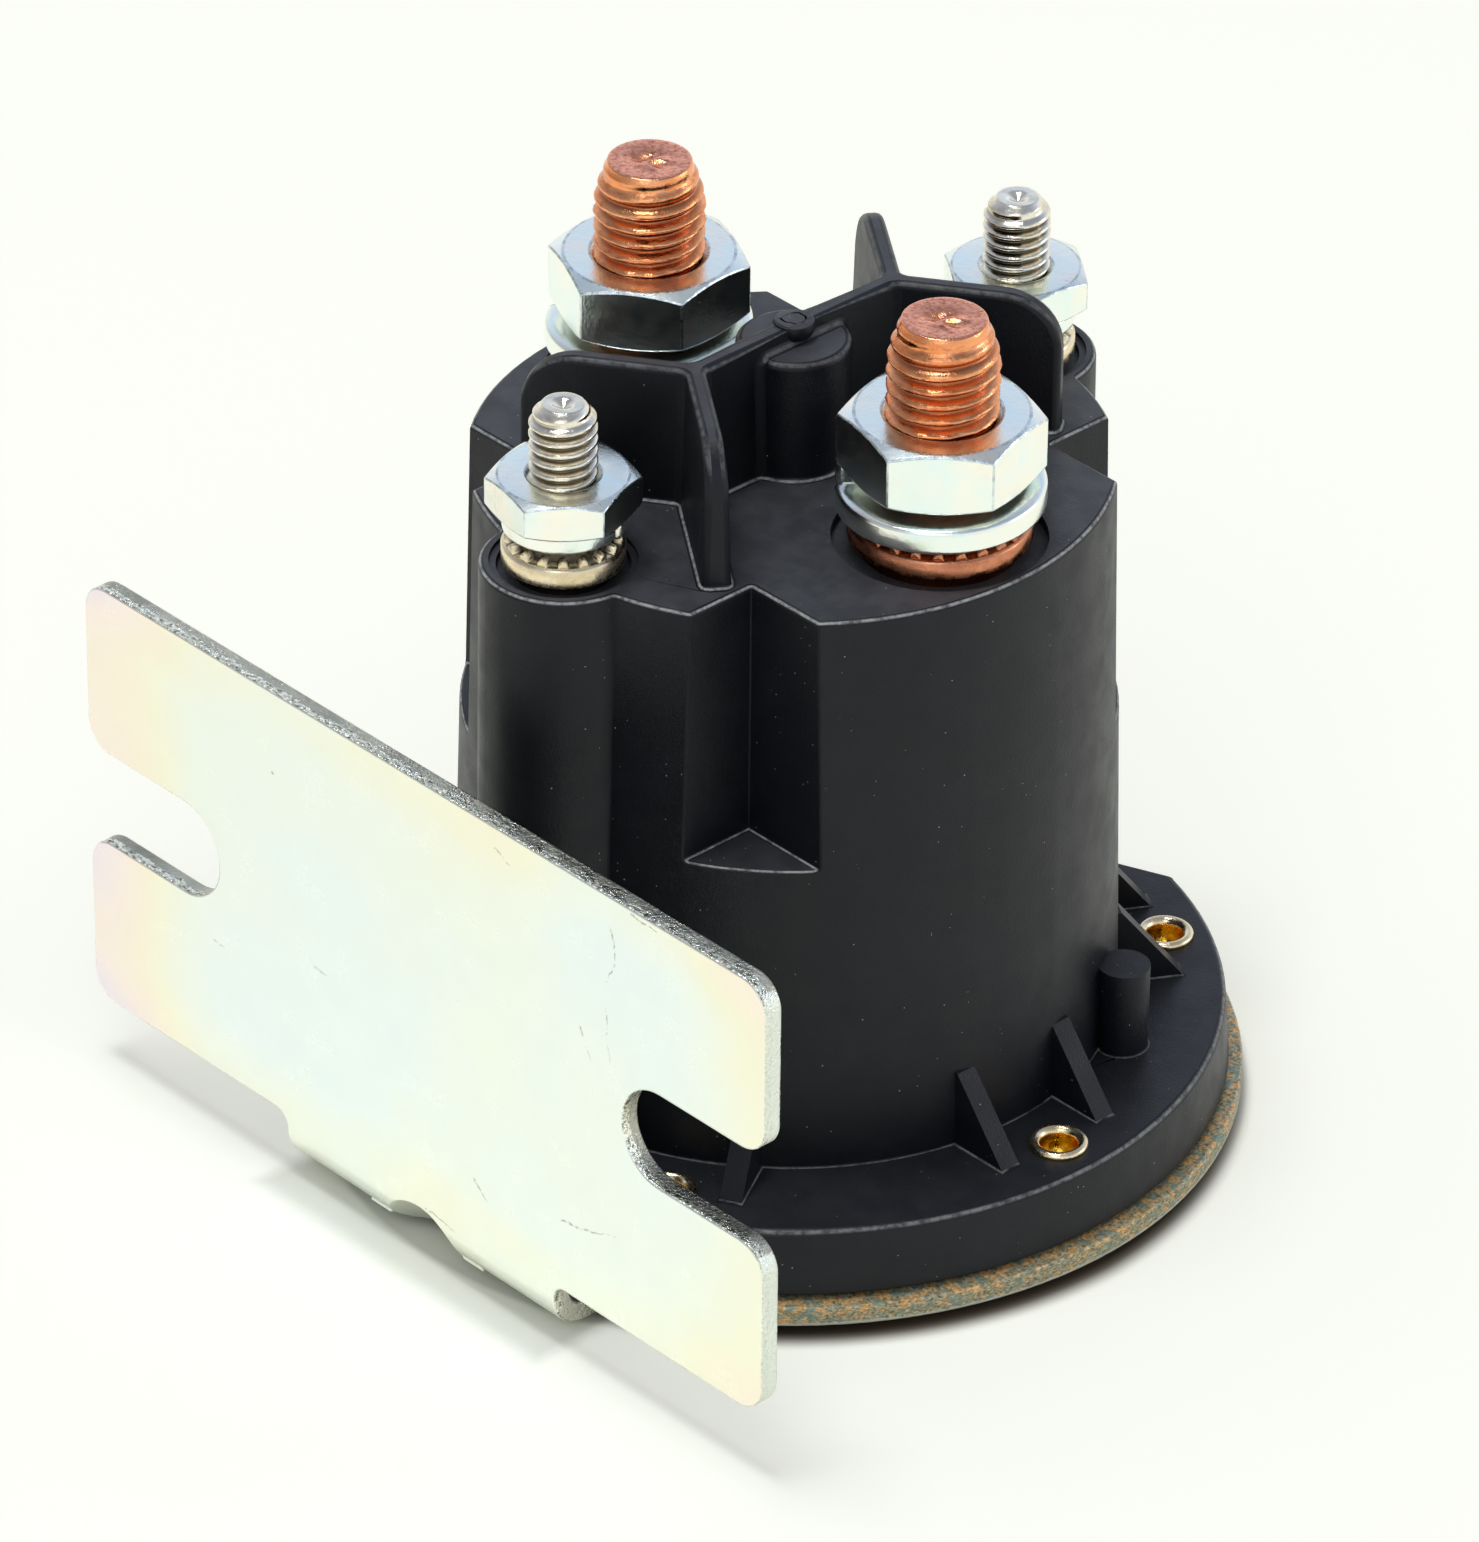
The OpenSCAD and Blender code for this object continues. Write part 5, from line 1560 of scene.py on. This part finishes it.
@dataclass
class TerminalSet:
    """Two like terminals: studs, toothed collars, split washers and nuts."""

    palette: Palette
    thread: ThreadRule
    bar: CoiledBarRule
    teeth: ToothRule
    slots: tuple[str, str]
    finishes: tuple[str, str]
    stud_nodes: tuple[str, str]
    group_nodes: tuple[str, str, str]
    places: tuple[Terminal, Terminal]
    crest_r: float
    root_r: float
    pitch: float
    tip_r: float
    cone_h: float
    dimple_r: float
    dimple_depth: float
    scar: float
    raggedness: float
    crest_share: float
    head_r: float
    head_flat: float
    head_t: float
    undercut: float
    tooth_count: int
    nut_af: float
    washer_in_r: float
    washer_rise: float
    washer_drop: float
    sink: float
    foot_h: float = 2.45
    tooth_set: float = 0.2
    gap_share: float = 0.36
    root_share: float = 0.84
    tooth_share: float = 0.9
    steps_per_tooth: int = 16
    washer_cut_half: float = 4.5
    washer_square: float = 0.36
    nut_face_share: float = 0.965
    nut_chamfer: float = 23.0
    nut_round: float = 0.13

    def build(self) -> None:
        """Builds the four kinds of piece."""
        collars, washers, nuts = self.group_nodes
        self.build_studs(Shop.box(nuts)[1].z)
        self.build_collars(collars)
        self.build_washers(washers)
        self.build_nuts(nuts)

    def set_at(self, made: Callable[[Terminal], bpy.types.Mesh], name: str, slot: str, node: str) -> None:
        """Makes one piece from a mesh for each terminal, each at its place.

        Args:
            made: Makes the mesh of a terminal, centred on its axis.
            name: Name of the piece.
            slot: The record's material slot.
            node: The CAD node that it replaces.
        """
        parts = [(made(place), Matrix.Translation((place.x * MM, place.y * MM, 0))) for place in self.places]
        Shop.piece(Shop.join(parts, name), name, Body.BASE, slot, node)

    def build_studs(self, nut_top: float) -> None:
        """Builds each stud: head and shank turned, thread by its rule.

        Args:
            nut_top: Height of the nut's upper face in millimetres.
        """
        mean_r, head_r = (self.crest_r + self.root_r) / 2, self.head_r
        for node, place in zip(self.stud_nodes, self.places):
            low, high = Shop.box(node)
            start = nut_top - self.sink
            lengths = {
                "Crest Radius": self.crest_r,
                "Root Radius": self.root_r,
                "Pitch": self.pitch,
                "Low Height": start,
                "Top Height": high.z - self.scar * 0.3,
                "Tip Radius": self.tip_r,
                "Cone Height": self.cone_h,
                "Dimple Radius": max(self.dimple_r, 0.01),
                "Dimple Depth": self.dimple_depth,
                "Scar Height": self.scar,
                "Crest Raggedness": self.raggedness,
            }
            rows = int((high.z - start) / self.pitch * ThreadRule.ROWS / (ThreadRule.WALL - ThreadRule.FOOT))
            others = {"Crest Share": self.crest_share, "Steps Around": 81, "Rows": rows}
            threaded = self.thread.run(self.palette[self.finishes[0]], lengths, others)
            under, neck = low.z + self.head_t, start + 0.2
            profile = [
                (0, low.z), (head_r - 0.2, low.z), (head_r, low.z + 0.2), (head_r, under), (mean_r, under),
                (mean_r, neck), (0, neck),
            ]
            shank = Shop.to_mesh(Shop.lathe(profile, 72, self.head_form), "shank")
            at = Matrix.Translation((place.x * MM, place.y * MM, 0))
            mesh = Shop.join([(threaded, at), (shank, at)], node + "_thread")
            Shop.piece(mesh, node + "_thread", Body.BASE, self.slots[0], node)

    def head_form(self, r: float, z: float, angle: float) -> float:
        """Shapes the inner head: round with flats, or a hexagon.

        Args:
            r: The profile's radius.
            z: The height.
            angle: The angle round the axis.

        Returns:
            The radius there.
        """
        if r <= self.crest_r:
            return r
        if self.head_flat:
            across = abs(math.sin(angle))
            return min(r, self.head_flat / across) if across > 1e-6 else r
        corner = math.radians(30)
        return r * math.cos(corner) / math.cos(angle % (2 * corner) - corner)

    def build_collars(self, node: str) -> None:
        """Turns the collars and cuts their teeth.

        Args:
            node: The CAD node of the collars.
        """
        low, high = Shop.box(node)
        place = self.places[0]
        foot_r = max(high.x - place.x, high.y - abs(place.y)) if place.x else high.y - abs(place.y)
        tooth_r, base, top = foot_r - self.tooth_set, low.z, high.z - self.washer_drop
        root_r, bore = tooth_r * self.root_share, self.crest_r + 0.06
        step, under = base + self.foot_h, base + self.undercut
        rows = [(tooth_r, step + 0.1 + (top - step - 0.25) * share / 8) for share in range(9)]
        profile = [
            (bore, base), (foot_r - 0.8, base), (foot_r - 0.8, under - 0.1), (foot_r - 0.2, under),
            (foot_r, under + 0.15), (foot_r, step - 0.25), (foot_r - 0.12, step - 0.06),
            (tooth_r - 0.05, step), *rows, (tooth_r - 0.12, top), (root_r - 0.1, top), (bore, top),
            (bore, base),
        ]
        lengths = {
            "Foot Height": step + 0.05,
            "Tooth Radius": tooth_r,
            "Root Radius": root_r,
            "Tooth Height": (top - step) * self.tooth_share,
        }
        others = {"Teeth": float(self.tooth_count), "Gap Share": self.gap_share}
        steps = self.tooth_count * self.steps_per_tooth

        def collar(_: Terminal) -> bpy.types.Mesh:
            """One toothed collar."""
            turned = Shop.to_mesh(Shop.lathe(profile, steps), "collar", sharp=math.radians(50))
            return self.teeth.run(self.palette[self.finishes[1]], lengths, others, turned)

        self.set_at(collar, node + "_toothed", self.slots[1], node)

    def build_washers(self, node: str) -> None:
        """Bends the split washers along their helix.

        Args:
            node: The CAD node of the washers.
        """
        low, high = Shop.box(node)
        outer = high.y - abs(self.places[0].y)
        bottom = low.z - self.washer_drop
        thick = high.z - bottom - self.washer_rise
        half_cut = math.radians(self.washer_cut_half)
        lengths = {
            "Mean Radius": (outer + self.washer_in_r) / 2,
            "Half Width": (outer - self.washer_in_r) / 2,
            "Half Height": thick / 2,
            "Low Height": bottom + thick / 2,
            "Rise": self.washer_rise,
        }
        others = {
            "Squareness": self.washer_square,
            "Turn": FULL_TURN - 2 * half_cut,
            "Steps Along": 150,
            "Steps Around": 41,
        }

        def washer(terminal: Terminal) -> bpy.types.Mesh:
            """One split washer, low at its cut and rising round the stud."""
            start = {"Start Angle": math.radians(terminal.washer_cut) + half_cut}
            return self.bar.run(self.palette["Zinc hardware"], lengths, others | start)

        self.set_at(washer, node + "_split", "zinc_hardware", node)

    def build_nuts(self, node: str) -> None:
        """Shapes the hexagon nuts with corner chamfers and sunk bores.

        Args:
            node: The CAD node of the nuts.
        """
        base, top = (corner.z for corner in Shop.box(node))
        half = self.nut_af / 2
        drop, sixth = math.tan(math.radians(self.nut_chamfer)), math.radians(60)
        face_r, corner_r = half * self.nut_face_share, half / math.cos(sixth / 2)
        bore, mouth = (self.crest_r + self.root_r) / 2 + 0.06, self.crest_r + 0.25

        def side(r: float, z: float, angle: float) -> float:
            """Radius on the hexagon for the side rows, unchanged for the others."""
            return half / math.cos(angle % sixth - sixth / 2) if r == corner_r else r

        profile = [
            (bore, base + self.sink), (mouth, base), (face_r, base), (corner_r, base + 0.001),
            (corner_r, top - 0.001), (face_r, top), (mouth, top), (bore, top - self.sink),
            (bore, base + self.sink),
        ]

        def nut(terminal: Terminal) -> bpy.types.Mesh:
            """One nut, turned about its stud.

            Args:
                terminal: The terminal that it belongs to.

            Returns:
                The nut's mesh.
            """
            work = Shop.lathe(profile, 96, side)
            for vert in work.verts:
                over = vert.co.xy.length / MM - face_r
                if over > 0.01:
                    slope = over * drop
                    is_low = vert.co.z < (base + top) / 2 * MM
                    vert.co.z = (base + slope if is_low else top - slope) * MM
            mesh = Shop.to_mesh(work, "nut", sharp=math.radians(20))
            for name in ("Zinc hardware", "Zinc edges"):
                mesh.materials.append(self.palette[name])
            mesh = Shop.rounded(mesh, self.nut_round, 2, angle=math.radians(19), edge_slot=1)
            mesh.transform(Matrix.Rotation(math.radians(terminal.nut_turn), 4, "Z"))
            return mesh

        self.set_at(nut, node + "_chamfered", "zinc_hardware", node)


@dataclass
class WoundSpring:
    """Spring wound as one helix."""

    palette: Palette
    bar: CoiledBarRule
    node: str
    body: Body
    joint: str
    wire_r: float
    turns: float
    stroke: float

    def build(self) -> None:
        """Winds the spring in its CAD node's room."""
        low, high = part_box(self.node)
        height = (high.z - low.z) / MM
        lengths = {
            "Mean Radius": (high.x - low.x) / 2 / MM - self.wire_r,
            "Half Width": self.wire_r,
            "Half Height": self.wire_r,
            "Low Height": low.z / MM + self.wire_r,
            "Rise": height - 2 * self.wire_r,
        }
        others = {
            "Squareness": 1.0,
            "Start Angle": 0.0,
            "Turn": FULL_TURN * self.turns,
            "Steps Along": int(self.turns * 48),
            "Steps Around": 17,
        }
        mesh = self.bar.run(self.palette["Spring steel"], lengths, others)
        made = Shop.piece(mesh, self.node + "_wound", self.body, "spring_steel", self.node)
        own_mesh(made)


@dataclass
class Mechanism:
    """The hidden pieces: materials for the CAD nodes that stay as they are."""

    frame: dict
    palette: Palette
    finishes: dict[str, tuple[str, ...]] = field(
        default_factory=lambda: {
            "Gasket rubber": ("flange_gasket", "stud_gaskets"),
            "Magnet steel": ("coil_can", "flux_plate", "fixed_pole", "plunger"),
            "Tube brass": ("guide_sleeve",),
            "Bobbin plastic": ("coil_bobbin",),
            "Winding copper": ("coil_winding", "coil_leads"),
            "Coil tape": ("winding_tape",),
            "Red fibre": ("rest_pad", "contact_seat", "contact_collar", "insulating_disc"),
            "Spring steel": ("plunger_rod", "retaining_clip"),
            "Bar copper": ("moving_contact",),
            "Contact silver": ("contact_tips",),
        }
    )

    def dress(self) -> None:
        """Gives each node its finish."""
        for name, nodes in self.finishes.items():
            for node in nodes:
                for slot in self.frame["nodes"][node].material_slots:
                    slot.material = self.palette[name]
        LOG.info("hidden pieces dressed")


# Studio


@dataclass
class Studio:
    """White table and room, soft boxes and the camera."""

    floor_z: float = -0.8
    floor_half: float = 3.0
    floor_highlight_colour: Colour = (0.88, 0.9, 0.84)
    # Colour of the painted shadow ring round the base disc.
    painted_shadow_colour: Colour = (0.09, 0.07, 0.05)
    glow_colour: Colour = (0.98, 1.0, 0.93)
    room_colour: Colour = (0.985, 1.0, 0.97)
    dark_side: tuple[float, float] = (-0.68, -0.73)
    dark_colour: Colour = (0.2, 0.18, 0.18)
    room_light: float = 0.42
    glow: float = 0.27
    # Radius where the painted shade round the disc begins.
    painted_shade_r: float = 32.8
    right_fade: float = 0.035
    neck: tuple[float, float] = (14.0, 36.5)
    sky: tuple[tuple[float, Colour], ...] = (
        (0.02, (1.0, 1.0, 0.98)),
        (0.25, (0.9, 0.94, 0.99)),
        (0.5, (0.62, 0.74, 0.97)),
        (0.75, (0.34, 0.4, 0.52)),
        (1.0, (0.3, 0.33, 0.38)),
    )
    lamps: tuple[tuple[str, Place, float, float], ...] = (
        ("Overhead", (-0.1, -0.1, 0.9), 0.24, 2.7),
        ("Front", (0.45, -0.65, 0.75), 0.6, 1.3),
        ("Right", (0.5, 0.6, 0.25), 0.3, 0.75),
    )
    azimuth: float = 46.975
    elevation: float = 32.441
    roll: float = 0.58
    distance: float = 750.25
    target_z: float = 30.0
    shift_right: float = -3.49
    shift_up: float = -4.199
    lens: float = 163.71
    sensor: float = 24.0

    def build(self) -> None:
        """Sets up everything that isn't part of the object."""
        self.room()
        self.floor()
        for name, at, size, power in self.lamps:
            self.soft_box(name, at, size, power)
        self.camera()
        bpy.context.scene.view_settings.view_transform = "Standard"

    def seen(self, g: Graph) -> Term:
        """Tells sight from light.

        Args:
            g: The graph of the room or the floor.

        Returns:
            1 for camera, mirror and glass rays, 0 for light.
        """
        kinds = ("Is Camera Ray", "Is Glossy Ray", "Is Transmission Ray")
        path = g.add("ShaderNodeLightPath")
        eye, mirror, glass = (Term(g, path.outputs[kind]) for kind in kinds)
        return eye.larger(mirror).larger(glass)

    def room(self) -> None:
        """White to the eye, a soft sky in reflections, weaker as a light."""
        world = bpy.data.worlds.new("Room")
        bpy.context.scene.world = world
        world.use_nodes = True
        world.node_tree.nodes.clear()
        g = Graph(world.node_tree)
        light = g.out("ShaderNodeBackground", {"Color": (1.0, 1.0, 1.0), "Strength": self.room_light})
        x, y, z = g.split(g.out("ShaderNodeTexCoord", output="Generated"))
        behind = (x * self.dark_side[0] + y * self.dark_side[1]).span(0.3, 0.9, 0.0, 0.6)
        sky = g.mix(behind, z.ramp(self.sky), self.dark_colour)
        mirrored = g.out("ShaderNodeBackground", {"Color": sky, "Strength": 1.0})
        plain = g.out("ShaderNodeBackground", {"Color": self.room_colour, "Strength": 1.0})
        to_eye = g.out("ShaderNodeLightPath", output="Is Camera Ray")
        white = g.out("ShaderNodeMixShader", {0: to_eye, 1: mirrored, 2: plain})
        both = g.out("ShaderNodeMixShader", {0: self.seen(g), 1: light, 2: white})
        g.add("ShaderNodeOutputWorld", {"Surface": both})

    def floor(self) -> None:
        """White table that keeps the shadow, with a painted shadow ring round the disc and its glow left out
        round the disc and neck as painted shade.
        """
        mesh = bpy.data.meshes.new("table")
        half, z = self.floor_half, self.floor_z * MM
        corners = [(-half, -half, z), (half, -half, z), (half, half, z), (-half, half, z)]
        mesh.from_pydata(corners, [], [(0, 1, 2, 3)])
        material = bpy.data.materials.new("Table")
        material.use_nodes = True
        material.node_tree.nodes.clear()
        g = Graph(material.node_tree)
        x, y, _ = g.where()
        # Painted shadow: a dark ring hugging the base disc, narrower behind it and weaker under the neck.
        away = y.larger(0.0) * self.right_fade + g.length(x, y)
        clear_of_painted_shadow = away.span(self.painted_shade_r + 0.6, self.painted_shade_r + 2.4).larger(y.span(-32.0, -29.5, 0.7, 0.0))
        matt = g.out("ShaderNodeBsdfDiffuse", {"Color": g.mix(clear_of_painted_shadow, self.painted_shadow_colour, self.floor_highlight_colour)})
        # Painted shade: the glow is left out round the disc and under the neck, so that the floor there is
        # darker.
        half_neck, neck_end = self.neck
        beside = abs(x).span(half_neck, half_neck + 2.0).larger(y.span(0.0, 5.0))
        beyond = y.span(-neck_end - 2.5, -neck_end, 1.0, 0.0)
        glow_outside_painted_shade = away.span(self.painted_shade_r, self.painted_shade_r + 2.5).smaller(beside.larger(beyond))
        strength = self.seen(g) * glow_outside_painted_shade * self.glow
        glow = g.out("ShaderNodeEmission", {"Color": self.glow_colour, "Strength": strength})
        both = g.out("ShaderNodeAddShader", {0: matt, 1: glow})
        g.add("ShaderNodeOutputMaterial", {"Surface": both})
        mesh.materials.append(material)
        Shop.link("table", mesh)

    def soft_box(self, name: str, at: Place, size: float, power: float) -> None:
        """Square soft light that faces the object.

        Args:
            name: The light's name.
            at: Its place in metres.
            size: Side length in metres.
            power: Power in watts.
        """
        lamp = bpy.data.lights.new(name, "AREA")
        lamp.size = size
        lamp.energy = power
        holder = Shop.link(name, lamp)
        holder.location = at
        aim = Vector((0, 0, self.target_z * MM)) - Vector(at)
        holder.rotation_euler = aim.to_track_quat("-Z", "Y").to_euler()

    def camera(self) -> None:
        """Camera at the photograph's angle."""
        azimuth, elevation, roll = (math.radians(a) for a in (self.azimuth, self.elevation, self.roll))
        level = math.cos(elevation)
        back = Vector((math.sin(azimuth) * level, -math.cos(azimuth) * level, math.sin(elevation)))
        right = Vector((math.cos(azimuth), math.sin(azimuth), 0))
        up = back.cross(right)
        target = Vector((0, 0, self.target_z)) + right * self.shift_right + up * self.shift_up
        turned = right * math.cos(roll) + up * math.sin(roll)
        camera = bpy.data.cameras.new("Camera")
        camera.sensor_fit = "AUTO"
        camera.sensor_width = self.sensor
        camera.lens = self.lens
        camera.clip_start, camera.clip_end = 0.05, 20.0
        axes = Matrix((turned, back.cross(turned), back)).transposed()
        holder = Shop.link("Camera", camera)
        holder.matrix_world = Matrix.Translation((target + back * self.distance) * MM) @ axes.to_4x4()
        bpy.context.scene.camera = holder


def main() -> None:
    """Loads the frame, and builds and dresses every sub-assembly."""
    logging.basicConfig(level=logging.INFO, format="%(name)s: %(message)s")
    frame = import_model()
    palette = Palette()
    thread, bar, teeth = ThreadRule(), CoiledBarRule(), ToothRule()
    Housing(frame, palette).build()
    Bracket(frame, palette).build()
    FlangeRivets(palette, RingOfRule()).build()
    main_x = sum(corner.x for corner in Shop.box("main_stud_front")) / 2
    coil_y = sum(corner.y for corner in Shop.box("coil_stud_right")) / 2
    TerminalSet(
        palette, thread, bar, teeth,
        slots=("copper", "copper"), finishes=("Copper", "Collar copper"),
        stud_nodes=("main_stud_front", "main_stud_back"),
        group_nodes=("main_collars", "main_lock_washers", "main_nuts"),
        places=(Terminal(main_x, 0, 45.4, 225), Terminal(-main_x, 0, 36.2, 205)),
        crest_r=3.97, root_r=3.38, pitch=1.155, tip_r=2.98, cone_h=3.2, dimple_r=0, dimple_depth=0,
        scar=0.36, raggedness=0.4, crest_share=0.02, head_r=5.0, head_flat=4.2, head_t=2.6, undercut=0.95,
        tooth_count=24, nut_af=12.7, washer_in_r=4.09, washer_rise=0.85, washer_drop=0.4, sink=0.5,
    ).build()
    TerminalSet(
        palette, thread, bar, teeth,
        slots=("nickel_hardware", "nickel_hardware"), finishes=("Nickel hardware", "Collar nickel"),
        stud_nodes=("coil_stud_left", "coil_stud_right"),
        group_nodes=("coil_collars", "coil_lock_washers", "coil_nuts"),
        places=(Terminal(0, -coil_y, 48.6, 20), Terminal(0, coil_y, 25, 200)),
        crest_r=2.41, root_r=1.97, pitch=0.868, tip_r=1.5, cone_h=1.3, dimple_r=0.8, dimple_depth=0.45,
        scar=0.03, raggedness=0.12, crest_share=0.12, head_r=3.0, head_flat=0, head_t=2.4, undercut=0.85,
        tooth_count=17, nut_af=9.5, washer_in_r=2.53, washer_rise=0.4, washer_drop=0.1, sink=0.35,
    ).build()
    WoundSpring(palette, bar, "return_spring", Body.BASE, "plunger_slide", 0.35, 6, 2.975).build()
    WoundSpring(palette, bar, "contact_spring", Body.CONTACT, "contact_slide", 0.35, 5, 0.595).build()
    Mechanism(frame, palette).dress()
    Studio().build()
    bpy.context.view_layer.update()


if __name__ == "__main__":
    main()
